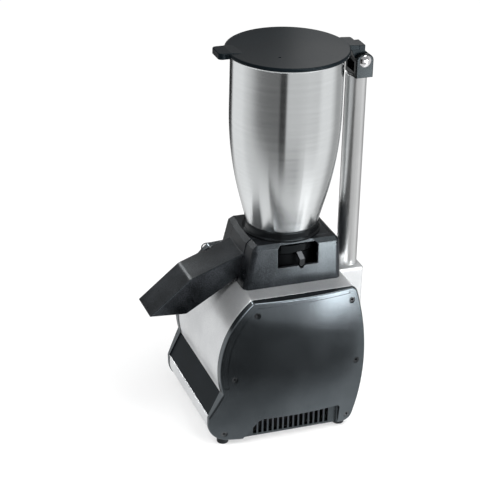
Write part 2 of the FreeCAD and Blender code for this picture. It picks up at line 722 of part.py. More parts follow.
def crown(depth):
    """The barrel inside the cover's crowned face, a depth below it."""
    length_r, height_r = crown_radii()
    low = BASE_BOTTOM_Z - 4 * COVER_T
    high = BASE_TOP_Z + 4 * COVER_T
    arc_r = height_r - depth
    points = []
    for z in (low, COVER_CROWN_Z, high):
        points.append(V(length_r - height_r + math.sqrt(arc_r ** 2 - (z - COVER_CROWN_Z) ** 2), 0, z))
    edges = [Part.makeLine(V(0, 0, low), points[0]), Part.Arc(points[0], points[1], points[2]).toShape(),
             Part.makeLine(points[2], V(0, 0, high)), Part.makeLine(V(0, 0, high), V(0, 0, low))]
    barrel = turned(edges)
    barrel.rotate(V(0, 0, 0), V(0, 0, 1), 180)
    barrel.translate(V(BODY_HALF_W + COVER_T - length_r, COVER_CROWN_Y, 0))
    return barrel


def cover_groove():
    """The shallow valley inside the cover's top and front edges, wider at the front."""
    x0 = BODY_HALF_W
    x1 = BODY_HALF_W + COVER_T + NUDGE
    band = outline_prism(x0, x1, GROOVE_INSET)
    inner = outline_prism(x0 - NUDGE, x1 + NUDGE, GROOVE_INSET + GROOVE_W)
    inner.translate(V(0, GROOVE_FRONT_EXTRA, 0))
    reach = box((x0, x1), (FRONT_APEX_Y, rear_y(BASE_TOP_Z) - GROOVE_END), (LIP_Z + GROOVE_END, BASE_TOP_Z))
    return band.cut(inner).common(reach).cut(crown(GROOVE_DEPTH))


def vent_recess(x, grow):
    """The vent recess as a cutting tool whose floor runs out softly at the rear."""
    tool = plate(vent_corners(x, grow), V(COVER_T, 0, 0))
    rear = VENT_REAR_Y + grow
    return round_edges(tool, VENT_END_R, lambda e: runs_along(e, V(0, 0, 1))
                       and abs(e.CenterOfMass.y - rear) < 0.01 and abs(e.CenterOfMass.x - x) < 0.01)


def make_side_cover():
    """The right-hand cover: a crowned tray with a rim groove, bosses and vents."""
    middle_x = BODY_HALF_W + COVER_T
    blank = outline_prism(BODY_HALF_W, middle_x + NUDGE).common(crown(0.0))
    face = max(blank.Faces, key=lambda f: f.CenterOfMass.x)
    blank = blank.makeFillet(COVER_EDGE_R, face.OuterWire.Edges)
    cover = blank.cut(cover_groove())
    tray = outline_prism(BODY_HALF_W - NUDGE, middle_x, COVER_WALL).common(crown(COVER_WALL))
    floor_x = BODY_HALF_W + VENT_FLOOR_T
    tray = tray.cut(plate(vent_corners(floor_x - COVER_WALL, COVER_WALL), V(COVER_T, 0, 0)))
    for y, z, _ in SCREW_SPOTS:
        tray = tray.cut(rod(COVER_BOSS_R, V(0, y, z), V(2 * middle_x, y, z)))
    cover = cover.cut(tray)
    cuts = [vent_recess(floor_x, 0.0)]
    back_x = floor_x - COVER_WALL - NUDGE
    zone = plate(vent_corners(back_x, -VENT_SLOT_MARGIN), V(COVER_T, 0, 0))
    for index in range(VENT_COUNT):
        y = VENT_FIRST_Y + index * VENT_PITCH
        slot = box((back_x, middle_x), (y - VENT_SLOT_W / 2, y + VENT_SLOT_W / 2),
                   (VENT_SLOT_BOTTOM_Z, VENT_TOP_Z))
        cuts.append(slot.common(zone))
    for y, z, _ in SCREW_SPOTS:
        seat = V(cover_face_x(y, z) - SCREW_SINK, y, z)
        cuts.append(rod(SCREW_R + SLIP_GAP, V(0, y, z), V(2 * middle_x, y, z)))
        cuts.append(rod(SCREW_HEAD_R + SLIP_GAP, seat, V(2 * middle_x, y, z)))
    for cut in cuts:
        cover = cover.cut(cut)
    return cover


def make_cover_screws():
    """Socket-head screws of both covers."""
    screws = []
    for y, z, _ in SCREW_SPOTS:
        seat_x = cover_face_x(y, z) - SCREW_SINK
        head = rod(SCREW_HEAD_R, V(seat_x, y, z), V(seat_x + SCREW_HEAD_H, y, z))
        shank = rod(SCREW_R, V(seat_x - SCREW_LENGTH, y, z), V(seat_x, y, z))
        socket = hexagon(SOCKET_R, seat_x + SCREW_HEAD_H - SOCKET_DEPTH, SOCKET_DEPTH + NUDGE, y, z)
        screw = head.fuse(shank).cut(socket).removeSplitter()
        screws.append(screw)
        screws.append(mirrored(screw))
    return group(screws)


def hexagon(radius, x, length, y, z):
    """A hexagonal prism along X."""
    points = []
    for index in range(6):
        angle = math.radians(60 * index)
        points.append(V(x, y + radius * math.cos(angle), z + radius * math.sin(angle)))
    return plate(points, V(length, 0, 0))


# ================================================================ crusher head
def head_screw_spots():
    """Screws from inside the casting up into the housing."""
    return [(x, y) for x in (-HEAD_SCREW_X, HEAD_SCREW_X) for y in HEAD_SCREW_YS]


def body_top_z():
    """Height of the casting's top face, the head's seat."""
    return BASE_TOP_Z - BODY_REVEAL


def rounded_wire(half_x, y0, y1, radius, z, bow=0.0):
    """A level rectangle with round corners whose front side may bow outwards."""
    s = radius * math.sqrt(0.5)
    r = radius
    x = half_x
    front = Part.makeLine(V(-x + r, y0, z), V(x - r, y0, z))
    if bow > 0:
        front = Part.Arc(V(-x + r, y0, z), V(0, y0 - bow, z), V(x - r, y0, z)).toShape()
    edges = [front,
             Part.Arc(V(x - r, y0, z), V(x - r + s, y0 + r - s, z), V(x, y0 + r, z)).toShape(),
             Part.makeLine(V(x, y0 + r, z), V(x, y1 - r, z)),
             Part.Arc(V(x, y1 - r, z), V(x - r + s, y1 - r + s, z), V(x - r, y1, z)).toShape(),
             Part.makeLine(V(x - r, y1, z), V(-x + r, y1, z)),
             Part.Arc(V(-x + r, y1, z), V(-x + r - s, y1 - r + s, z), V(-x, y1 - r, z)).toShape(),
             Part.makeLine(V(-x, y1 - r, z), V(-x, y0 + r, z)),
             Part.Arc(V(-x, y0 + r, z), V(-x + r - s, y0 + r - s, z), V(-x + r, y0, z)).toShape()]
    return Part.Wire(edges)


def head_wire(z, inset, bow):
    """A level section of the housing: its sides lean in towards the top."""
    rise = (z - body_top_z()) / (HEAD_TOP_Z - body_top_z())
    half = HEAD_FOOT_HALF_W + (HEAD_TOP_HALF_W - HEAD_FOOT_HALF_W) * rise
    y0 = HEAD_FOOT_FRONT_Y + (HEAD_TOP_FRONT_Y - HEAD_FOOT_FRONT_Y) * rise
    y1 = HEAD_FOOT_REAR_Y + (HEAD_TOP_REAR_Y - HEAD_FOOT_REAR_Y) * rise
    corner = HEAD_FOOT_CORNER_R + (HEAD_TOP_CORNER_R - HEAD_FOOT_CORNER_R) * rise
    radius = max(corner - inset, 1.0)
    return rounded_wire(half - inset, y0 + inset, y1 - inset, radius, z, bow)


def head_solid(bow=0.0):
    """The housing's outer form with its bevelled top edge."""
    bevel_z = HEAD_TOP_Z - HEAD_BEVEL
    lower = Part.makeLoft([head_wire(body_top_z(), 0, bow), head_wire(bevel_z, 0, bow)], True, True)
    upper = Part.makeLoft([head_wire(bevel_z, 0, bow), head_wire(HEAD_TOP_Z, HEAD_BEVEL, bow)], True, True)
    return lower.fuse(upper).removeSplitter()


def head_shell(bow=0.0):
    """The housing as an open-bottomed shell with the hopper's hole."""
    roof_z = HEAD_TOP_Z - HEAD_ROOF_T
    cavity = Part.makeLoft([head_wire(body_top_z(), HEAD_WALL, bow),
                            head_wire(roof_z, HEAD_WALL + HEAD_DRAFT, bow)], True, True)
    shell = head_solid(bow).cut(cavity)
    return shell.cut(disc(HEAD_HOLE_R, body_top_z(), HEAD_TOP_Z + NUDGE))


def insert_box(margin):
    """The part of the head's front that belongs to the chute's wall."""
    half = INSERT_HALF_W + margin
    return box((-half, half), (-SPOUT_REACH, INSERT_BACK_Y + margin), (0, 2 * HEAD_TOP_Z))


def lever_window():
    """The window over the lever, with slanting upper corners and a notch below."""
    x0 = HEAD_TOP_HALF_W - WINDOW_DEPTH
    along = V(HEAD_TOP_HALF_W, 0, 0)
    y0 = WINDOW_YS[0]
    y1 = WINDOW_YS[1]
    low = WINDOW_BOTTOM_Z
    bend = HEAD_TOP_Z - WINDOW_CORNER
    high = HEAD_TOP_Z + NUDGE
    slant = WINDOW_CORNER + NUDGE
    opening = plate([V(x0, y0, low), V(x0, y1, low), V(x0, y1, bend), V(x0, y1 - slant, high),
                     V(x0, y0 + slant, high), V(x0, y0, bend)], along)
    top = DETENT_TOP_W / 2
    tip = DETENT_LOW_W / 2
    notch = plate([V(x0, DETENT_Y - top, low), V(x0, DETENT_Y - tip, low - DETENT_DEPTH),
                   V(x0, DETENT_Y + tip, low - DETENT_DEPTH), V(x0, DETENT_Y + top, low),
                   V(x0, DETENT_Y, low + NUDGE)], along)
    return opening.fuse(notch)


def pad_line():
    """The thin joint line round the flat pad under the hopper."""
    low = HEAD_TOP_Z - PAD_LINE_DEPTH
    outer = rounded_wire(PAD_HALF_X, PAD_YS[0], PAD_YS[1], PAD_CORNER_R, low)
    inner = rounded_wire(PAD_HALF_X - PAD_LINE_W, PAD_YS[0] + PAD_LINE_W, PAD_YS[1] - PAD_LINE_W,
                         PAD_CORNER_R - PAD_LINE_W, low)
    depth = V(0, 0, PAD_LINE_DEPTH + NUDGE)
    return Part.Face(outer).extrude(depth).cut(Part.Face(inner).extrude(depth))


def make_head_housing():
    """The black housing on top of the casting, with the lever's window."""
    shell = head_shell().cut(insert_box(SEAM_W))
    bosses = []
    for x, y in head_screw_spots():
        boss = disc(HEAD_BOSS_R, body_top_z(), body_top_z() + HEAD_BOSS_H, x, y)
        wall = 1 if x > 0 else -1
        web = box((min(x, wall * HEAD_FOOT_HALF_W), max(x, wall * HEAD_FOOT_HALF_W)),
                  (y - HEAD_WEB_T / 2, y + HEAD_WEB_T / 2), (body_top_z(), body_top_z() + HEAD_BOSS_H))
        bosses.append(boss.fuse(web).common(head_solid()))
    shell = fused([shell] + bosses)
    shell = shell.cut(lever_window()).cut(pad_line())
    for x, y in head_screw_spots():
        shell = shell.cut(disc(HEAD_SCREW_R, body_top_z() - NUDGE, body_top_z() + HEAD_BOSS_H - HEAD_BOSS_CAP,
                               x, y))
    shell = shell.cut(spout_channel(SPOUT_WALL + SLIP_GAP))
    return shell.removeSplitter()


def make_head_screws():
    """Screws that hold the head down from inside the casting."""
    screws = []
    under = BASE_TOP_Z - BODY_REVEAL - BODY_WALL
    for x, y in head_screw_spots():
        head = disc(HEAD_SCREW_HEAD_R, under - HEAD_SCREW_HEAD_H, under, x, y)
        shank = disc(HEAD_SCREW_R, under, under + HEAD_SCREW_LENGTH, x, y)
        screws.append(head.fuse(shank).removeSplitter())
    return group(screws)


# ================================================================ chute
def spout_profile(inset, x):
    """The chute's side as corners; the inset gives its inside."""
    root_y = SPOUT_ROOT_Y
    top = math.atan2(SPOUT_ROOT_TOP_Z - SPOUT_BEND_Z, -SPOUT_BEND_Y + HEAD_TOP_FRONT_Y)
    steep = math.atan2(SPOUT_BEND_Z - SPOUT_TIP_Z, SPOUT_REACH + SPOUT_BEND_Y)
    under = math.atan2(SPOUT_ROOT_BOTTOM_Z - SPOUT_LIP_Z, HEAD_FOOT_FRONT_Y - SPOUT_LIP_Y)
    bisector = (top + steep) / 2
    corner = inset / math.cos((steep - top) / 2)
    bend = V(x, SPOUT_BEND_Y + corner * math.sin(bisector), SPOUT_BEND_Z - corner * math.cos(bisector))
    root_top = V(x, root_y, bend.z + (root_y - bend.y) * math.tan(top))
    lip_drop = SPOUT_LIP_Z + inset / math.cos(under)
    root_low = V(x, root_y, lip_drop + (root_y - SPOUT_LIP_Y) * math.tan(under))
    if inset == 0.0:
        tip = V(x, -SPOUT_REACH, SPOUT_TIP_Z)
        lip = V(x, SPOUT_LIP_Y, SPOUT_LIP_Z)
        return [root_top, bend, tip, lip, root_low]
    below = SPOUT_LIP_Z - SPOUT_MOUTH_DEPTH
    tip = V(x, bend.y - (bend.z - below) / math.tan(steep), below)
    lip = V(x, SPOUT_LIP_Y - (lip_drop - SPOUT_LIP_Z) * 0.2, lip_drop)
    drop = V(x, lip.y - 1.0, below)
    return [root_top, bend, tip, drop, lip, root_low]


def round_bend(solid, y, z, radius):
    """Rounds the X-parallel edge of a chute solid at a corner."""
    picked = lambda e: (runs_along(e, V(1, 0, 0)) and abs(e.CenterOfMass.y - y) < 0.01
                        and abs(e.CenterOfMass.z - z) < 0.01)
    return round_edges(solid, radius, picked)


def spout_channel(grow):
    """The straight throat between the chamber's outlet and the chute."""
    half = OUTLET_HALF_W + grow
    floor = body_top_z() + CHAMBER_FLOOR_T + 1.0
    return box((-half, half), (THROAT_FRONT_Y, 0), (floor - grow, OUTLET_TOP_Z + THROAT_RISE + grow))


def make_spout():
    """The chute with the wall that closes the front of the head."""
    outer_points = spout_profile(0.0, -SPOUT_HALF_W)
    bend = outer_points[1]
    lip = outer_points[3]
    outer = plate(outer_points, V(2 * SPOUT_HALF_W, 0, 0))
    outer = round_bend(outer, bend.y, bend.z, SPOUT_BEND_R)
    outer = round_bend(outer, lip.y, lip.z, SPOUT_LIP_R)
    outer = round_edges(outer, SPOUT_EDGE_R, lambda e: abs(abs(e.CenterOfMass.x) - SPOUT_HALF_W) < 0.01
                        and e.CenterOfMass.y > -SPOUT_REACH + 10.0
                        and e.CenterOfMass.z > SPOUT_LIP_Z + 15.0
                        and e.BoundBox.YLength > 1.0)
    inner_half = SPOUT_HALF_W - SPOUT_WALL
    inner_points = spout_profile(SPOUT_WALL, -inner_half)
    inner_bend = inner_points[1]
    inner = plate(inner_points, V(2 * inner_half, 0, 0))
    inner = round_bend(inner, inner_bend.y, inner_bend.z, SPOUT_BEND_R - SPOUT_WALL)
    wall = head_shell(INSERT_BOW).common(insert_box(0.0))
    front = box((-INSERT_HALF_W, INSERT_HALF_W), (-SPOUT_REACH, INSERT_BACK_Y),
                (body_top_z(), HEAD_TOP_Z))
    wall = wall.common(front)
    roof_z = HEAD_TOP_Z - HEAD_ROOF_T
    cavity = Part.makeLoft([head_wire(body_top_z(), HEAD_WALL, INSERT_BOW),
                            head_wire(roof_z, HEAD_WALL + HEAD_DRAFT, INSERT_BOW)], True, True)
    beside = head_solid().cut(insert_box(0.0))
    outside = outer.cut(cavity).cut(beside)
    throat = spout_channel(SPOUT_WALL).cut(disc(CHAMBER_R + CHAMBER_WALL + REST_GAP, 0, 2 * HEAD_TOP_Z))
    back = box((-SPOUT_REACH, SPOUT_REACH), (0, SPOUT_REACH), (0, 2 * HEAD_TOP_Z))
    throat = throat.cut(back)
    spout = fused([outside, wall, throat])
    spout = spout.cut(inner).cut(spout_channel(0.0))
    return spout.removeSplitter()


def make_spout_clip():
    """A bent wire clip on the chute's far side that locks it to the head."""
    low = CLIP_BOTTOM_Z
    top = CLIP_TOP_Z
    y0 = CLIP_YS[0]
    y1 = CLIP_YS[1]
    r = CLIP_BEND_R
    s = r * math.sqrt(0.5)
    x = CLIP_X
    root = V(-SPOUT_HALF_W, y0, low)
    edges = [Part.makeLine(root, V(x, y0, low)),
             Part.makeLine(V(x, y0, low), V(x, y0, top - r)),
             Part.Arc(V(x, y0, top - r), V(x, y0 + r - s, top - r + s), V(x, y0 + r, top)).toShape(),
             Part.makeLine(V(x, y0 + r, top), V(x, y1, top))]
    parts = []
    for edge in edges:
        start = edge.valueAt(edge.FirstParameter)
        tangent = edge.tangentAt(edge.FirstParameter)
        profile = Part.Wire(Part.makeCircle(CLIP_WIRE_R, start, tangent))
        parts.append(Part.Wire(edge).makePipeShell([profile], True, True))
        parts.append(Part.makeSphere(CLIP_WIRE_R, start))
    hook = V(x, y1, top)
    parts.append(Part.makeSphere(CLIP_WIRE_R, hook))
    parts.append(rod(CLIP_WIRE_R, hook, V(-SPOUT_HALF_W, y1, top)))
    clip = fused(parts)
    return clip.cut(box((-SPOUT_HALF_W, SPOUT_HALF_W), (-SPOUT_REACH, 0), (0, HEAD_TOP_Z)))


# ================================================================ crusher chamber
def chamber_floor_z():
    """Top of the chamber's floor."""
    return body_top_z() + CHAMBER_FLOOR_T


def make_crusher_chamber():
    """The cast cup in which the ice is broken, open at its front."""
    outer = CHAMBER_R + CHAMBER_WALL
    cup = disc(outer, body_top_z(), CHAMBER_TOP_Z).cut(disc(CHAMBER_R, chamber_floor_z(), HEAD_TOP_Z))
    cup = cup.cut(disc(SEAL_R, 0, HEAD_TOP_Z))
    outlet = box((-OUTLET_HALF_W, OUTLET_HALF_W), (-2 * outer, 0), (chamber_floor_z() + 1.0, OUTLET_TOP_Z))
    return cup.cut(outlet)


def make_shaft_seal():
    """The lip seal round the shaft in the chamber's floor."""
    return ring(SEAL_R, SHAFT_R + RUN_GAP, body_top_z() - 1.0, chamber_floor_z())


def blade(angle):
    """One swept breaker blade on the disc."""
    z0 = chamber_floor_z() + DISC_LIFT + DISC_T
    sweep = math.radians(BLADE_SWEEP)
    root = HUB_R - 1.0
    tip = DISC_R - BLADE_GAP
    middle = (root + tip) / 2
    front = [V(root, 0, z0), V(middle * math.cos(sweep / 3), middle * math.sin(sweep / 3), z0),
             V(tip * math.cos(sweep), tip * math.sin(sweep), z0)]
    back = [point + V(0, -BLADE_T, 0) for point in reversed(front)]
    solid = plate(front + back, V(0, 0, BLADE_TOP_Z - z0))
    solid.rotate(V(0, 0, 0), V(0, 0, 1), angle)
    return solid


def make_crusher_disc():
    """The turning disc with its hub and breaker blades."""
    z0 = chamber_floor_z() + DISC_LIFT
    parts = [disc(DISC_R, z0, z0 + DISC_T), disc(HUB_R, z0, BLADE_TOP_Z - HUB_DROP)]
    for index in range(BLADE_COUNT):
        parts.append(blade(360.0 * index / BLADE_COUNT))
    return fused(parts).cut(disc(SHAFT_R, 0, HEAD_TOP_Z))


def make_hub_nut():
    """The domed nut that holds the disc on the shaft."""
    z0 = BLADE_TOP_Z - HUB_DROP
    nut = disc(HUB_NUT_R, z0, z0 + HUB_NUT_H)
    nut = round_edges(nut, HUB_NUT_DOME_R, lambda e: e.CenterOfMass.z > z0 + HUB_NUT_H - 0.01)
    return nut.cut(disc(SHAFT_R, 0, z0 + HUB_NUT_H - HUB_NUT_CAP))


def make_breaker_comb():
    """The fixed comb under the hopper: teeth that the blades pass below."""
    top = CHAMBER_TOP_Z
    low = top - COMB_T
    parts = [ring(CHAMBER_R, CHAMBER_R - COMB_RING_W, low, top)]
    for index in range(COMB_TEETH):
        half = COMB_TOOTH_W / 2
        tooth = plate([V(CHAMBER_R - COMB_RING_W / 2, -half, low), V(CHAMBER_R - COMB_RING_W / 2, half, low),
                       V(COMB_TOOTH_R, half / 4, low), V(COMB_TOOTH_R, -half / 4, low)], V(0, 0, COMB_T))
        tooth.rotate(V(0, 0, 0), V(0, 0, 1), 360.0 * (index + 0.5) / COMB_TEETH)
        parts.append(tooth)
    return fused(parts)


# ================================================================ grain-size lever
def sector(outer, inner, z0, z1, angle, spread):
    """Part of a ring, centred on an angle."""
    block = Part.makeCylinder(outer, z1 - z0, V(0, 0, z0), V(0, 0, 1), 2 * spread)
    block.rotate(V(0, 0, 0), V(0, 0, 1), angle - spread)
    return block.cut(disc(inner, z0 - NUDGE, z1 + NUDGE))


def lug_bottom_z():
    """Underside of the lug, the lever's seat."""
    return RING_TOP_Z - LUG_H


def make_adjust_ring():
    """The ring that sets the size of the ice, with the lug that carries its lever."""
    band = ring(RING_R, RING_BORE, CHAMBER_TOP_Z + REST_GAP, RING_TOP_Z)
    lug = sector(LUG_R, RING_R - 1.0, lug_bottom_z(), RING_TOP_Z, LUG_ANGLE, LUG_SPREAD)
    return fused([band, lug])


def make_adjust_lever():
    """The flat bar that slopes out from under the lug and hangs down to a round tip."""
    half = LEVER_W / 2
    top = lug_bottom_z()
    low = top - LEVER_H
    run = LEVER_TIP_R - LEVER_BEND_R
    slope = math.atan2(LEVER_SLOPE_H, run)
    drop = LEVER_T / math.cos(slope)
    inner_x = LEVER_TIP_R - LEVER_T
    fall = math.tan(slope)
    points = [V(LEVER_ROOT_R, -half, top), V(LEVER_BEND_R, -half, top),
              V(LEVER_TIP_R, -half, top - LEVER_SLOPE_H), V(LEVER_TIP_R, -half, low), V(inner_x, -half, low),
              V(inner_x, -half, top - drop - (inner_x - LEVER_BEND_R) * fall),
              V(LEVER_ROOT_R, -half, top - drop + (LEVER_BEND_R - LEVER_ROOT_R) * fall)]
    lever = plate(points, V(0, LEVER_W, 0))
    lever = round_edges(lever, LEVER_TIP_ROUND, lambda e: runs_along(e, V(1, 0, 0))
                        and e.CenterOfMass.z < low + 0.01)
    lever.rotate(V(0, 0, 0), V(0, 0, 1), LEVER_ANGLE)
    return lever


# ================================================================ hopper
def flank_radius():
    """Radius of the arc that curves the hopper's flank, upright at its top."""
    height = FLANK_TOP_Z - CONE_TOP_Z
    widening = HOPPER_R - CONE_TOP_R
    return (height ** 2 + widening ** 2) / (2 * widening)


def hopper_radius(z):
    """The hopper's outer radius at a height."""
    if z >= FLANK_TOP_Z:
        return HOPPER_R
    if z >= CONE_TOP_Z:
        return HOPPER_R - flank_radius() + math.sqrt(flank_radius() ** 2 - (FLANK_TOP_Z - z) ** 2)
    return CONE_TOP_R - (CONE_TOP_R - HOPPER_FOOT_R) * (CONE_TOP_Z - z) / CONE_H


def hopper_solid(thin, z0, z1):
    """The hopper's form as a full solid, made thinner by a wall."""
    middle = (FLANK_TOP_Z + CONE_TOP_Z) / 2
    points = [V(hopper_radius(z) - thin, 0, z) for z in (z0, CONE_TOP_Z, middle, FLANK_TOP_Z)]
    top = V(HOPPER_R - thin, 0, z1)
    edges = [Part.makeLine(V(0, 0, z0), points[0]), Part.makeLine(points[0], points[1]),
             Part.Arc(points[1], points[2], points[3]).toShape(), Part.makeLine(points[3], top),
             Part.makeLine(top, V(0, 0, z1)), Part.makeLine(V(0, 0, z1), V(0, 0, z0))]
    return turned(edges)


def make_hopper_bowl():
    """The spun steel hopper with its rolled rim and inward foot."""
    outer = hopper_solid(0.0, HOPPER_BOTTOM_Z, HOPPER_RIM_Z - RIM_BEAD_R)
    bead_z = HOPPER_RIM_Z - RIM_BEAD_R
    bead = Part.makeTorus(HOPPER_R, RIM_BEAD_R, V(0, 0, bead_z))
    inner = hopper_solid(HOPPER_WALL, HOPPER_BOTTOM_Z + HOPPER_WALL, HOPPER_RIM_Z + NUDGE)
    bowl = fused([outer, bead]).cut(inner)
    return bowl.cut(disc(NECK_R, 0, HOPPER_BOTTOM_Z + 2 * HOPPER_WALL))


def make_hopper_collar():
    """The glossy flanged collar that the hopper stands in."""
    flange_top = HEAD_TOP_Z + COLLAR_FLANGE_T
    spigot = HEAD_HOLE_R - SLIP_GAP
    spigot_z = HEAD_TOP_Z - HEAD_ROOF_T + 1.0
    points = [V(NECK_R, 0, spigot_z), V(spigot, 0, spigot_z), V(spigot, 0, HEAD_TOP_Z),
              V(COLLAR_FLANGE_R, 0, HEAD_TOP_Z), V(COLLAR_FLANGE_R, 0, flange_top - COLLAR_EDGE),
              V(COLLAR_FLANGE_R - COLLAR_EDGE, 0, flange_top),
              V(COLLAR_R + COLLAR_FILLET / 2, 0, flange_top),
              V(COLLAR_R, 0, flange_top + COLLAR_FILLET), V(COLLAR_R, 0, COLLAR_TOP_Z - COLLAR_EDGE),
              V(COLLAR_R - COLLAR_EDGE, 0, COLLAR_TOP_Z), V(NECK_R, 0, COLLAR_TOP_Z)]
    collar = turned(chain(points))
    return collar.cut(hopper_solid(0.0, HOPPER_BOTTOM_Z, HOPPER_RIM_Z))


# ================================================================ post and lid
def make_post_tube():
    """The tube that carries the lid's bracket."""
    low = TAIL_TOP_Z - POST_SOCKET
    tube = disc(POST_R, low, BRACKET_BOTTOM_Z, 0, POST_Y)
    return tube.cut(disc(POST_R - POST_WALL, low - NUDGE, BRACKET_BOTTOM_Z + NUDGE, 0, POST_Y))


def make_post_bracket():
    """The black fork on top of the post, with a plug down into the tube."""
    half = BRACKET_HALF_W
    bracket = box((-half, half), (BRACKET_FRONT_Y, REAR_REACH), (BRACKET_BOTTOM_Z, EAR_TOP_Z))
    bracket = round_edges(bracket, EAR_CORNER_R, lambda e: runs_along(e, V(1, 0, 0))
                          and e.CenterOfMass.z > EAR_TOP_Z - 0.01)
    bracket = round_edges(bracket, EAR_EDGE_R, lambda e: abs(abs(e.CenterOfMass.x) - half) < 0.01
                          and e.CenterOfMass.z > BRACKET_BOTTOM_Z + 1.0)
    gap = half - EAR_T
    bracket = bracket.cut(box((-gap, gap), (0, 2 * REAR_REACH), (BRACKET_GAP_Z, 2 * HINGE_Z)))
    plug = disc(POST_R - POST_WALL - SLIP_GAP, BRACKET_BOTTOM_Z - PLUG_H, BRACKET_BOTTOM_Z, 0, POST_Y)
    bracket = bracket.fuse(plug).removeSplitter()
    bracket = bracket.cut(reed_switch_pocket())
    return bracket.cut(rod(PIN_R, V(-half - NUDGE, HINGE_Y, HINGE_Z), V(half + NUDGE, HINGE_Y, HINGE_Z)))


def reed_switch_pocket():
    """The blind hole for the lid's interlock switch, down the fork's base."""
    return disc(REED_R, BRACKET_GAP_Z - REED_H, BRACKET_GAP_Z + NUDGE, 0, HINGE_Y)


def make_reed_switch():
    """The interlock switch, sealed in the bracket under the knuckle."""
    return disc(REED_R, BRACKET_GAP_Z - REED_H, BRACKET_GAP_Z, 0, HINGE_Y)


def make_hinge_pin():
    """The chrome pin with a low domed head on each side."""
    half = BRACKET_HALF_W
    pin = rod(PIN_R, V(-half, HINGE_Y, HINGE_Z), V(half, HINGE_Y, HINGE_Z))
    head = rod(PIN_HEAD_R, V(half, HINGE_Y, HINGE_Z), V(half + PIN_HEAD_T, HINGE_Y, HINGE_Z))
    dome = Part.makeSphere(PIN_DOME_R, V(half + PIN_HEAD_T - PIN_DOME_R, HINGE_Y, HINGE_Z))
    head = head.common(dome)
    return fused([pin, head, mirrored(head)])


def lid_top_z(radius):
    """Height of the lid's dished top at a distance from its middle."""
    share = radius / (LID_R - LID_EDGE_R)
    return LID_RIM_Z - LID_DISH * (1 - share ** 2)


def lid_seat_z():
    """The level underside of the lid's rim, which holds the seal."""
    return LID_SKIRT_Z + SEAL_DROP


def lid_plate():
    """The dished round plate with its rolled edge and the thicker disc under its middle."""
    flat_r = LID_R - LID_EDGE_R
    slant = LID_EDGE_R * (1 - math.sqrt(0.5))
    under = lid_seat_z()
    edges = [Part.Arc(V(0, 0, lid_top_z(0)), V(flat_r / 2, 0, lid_top_z(flat_r / 2)),
                      V(flat_r, 0, LID_RIM_Z)).toShape(),
             Part.Arc(V(flat_r, 0, LID_RIM_Z), V(LID_R - slant, 0, LID_RIM_Z - slant),
                      V(LID_R, 0, LID_RIM_Z - LID_EDGE_R)).toShape()]
    rest = [V(LID_R, 0, LID_RIM_Z - LID_EDGE_R), V(LID_R - SEAL_DROP, 0, LID_SKIRT_Z),
            V(LID_SKIRT_R, 0, LID_SKIRT_Z), V(LID_SKIRT_R, 0, under), V(LID_DISC_R, 0, under),
            V(LID_DISC_R, 0, LID_DISC_Z), V(0, 0, LID_DISC_Z), V(0, 0, lid_top_z(0))]
    for start, end in zip(rest[:-1], rest[1:]):
        edges.append(Part.makeLine(start, end))
    return turned(edges)


def lid_tab():
    """The finger tab: a tongue that runs off the lid's top, with flared roots."""
    x0 = TAB_XS[0]
    x1 = TAB_XS[1]
    end_z = lid_top_z(-TAB_END_Y) - 0.5
    tongue = plate([V(x0, TAB_TIP_Y, TAB_LOW_Z), V(x0, TAB_TIP_Y, LID_TOP_Z), V(x0, TAB_FALL_Y, LID_TOP_Z),
                    V(x0, TAB_END_Y, end_z), V(x0, TAB_END_Y, lid_seat_z()),
                    V(x0, TAB_FALL_Y, lid_seat_z()), V(x0, TAB_FALL_Y, TAB_LOW_Z)], V(x1 - x0, 0, 0))
    tongue = round_edges(tongue, TAB_CORNER_R, lambda e: runs_along(e, V(0, 0, 1))
                         and e.CenterOfMass.y < TAB_TIP_Y + 0.01)
    tongue = round_edges(tongue, TAB_EDGE_R, lambda e: e.CenterOfMass.z > LID_TOP_Z - 0.01
                         and e.CenterOfMass.y < TAB_FALL_Y)
    root_y = TAB_FALL_Y + TAB_FLARE
    side_y = TAB_FALL_Y - TAB_FLARE_Y
    low = TAB_LOW_Z + TAB_FLARE_STEP
    flare = plate([V(x0 - TAB_FLARE, root_y, low), V(x0, side_y, low), V(x1, side_y, low),
                   V(x1 + TAB_FLARE, root_y, low)], V(0, 0, LID_TOP_Z - LID_EDGE_R + TAB_FLARE_STEP - low))
    flare = flare.cut(disc(LID_SKIRT_R + TAB_FLARE_STEP, 0, 2 * LID_TOP_Z))
    return tongue.fuse(flare).cut(disc(LID_SKIRT_R, TAB_LOW_Z - NUDGE, lid_seat_z()))


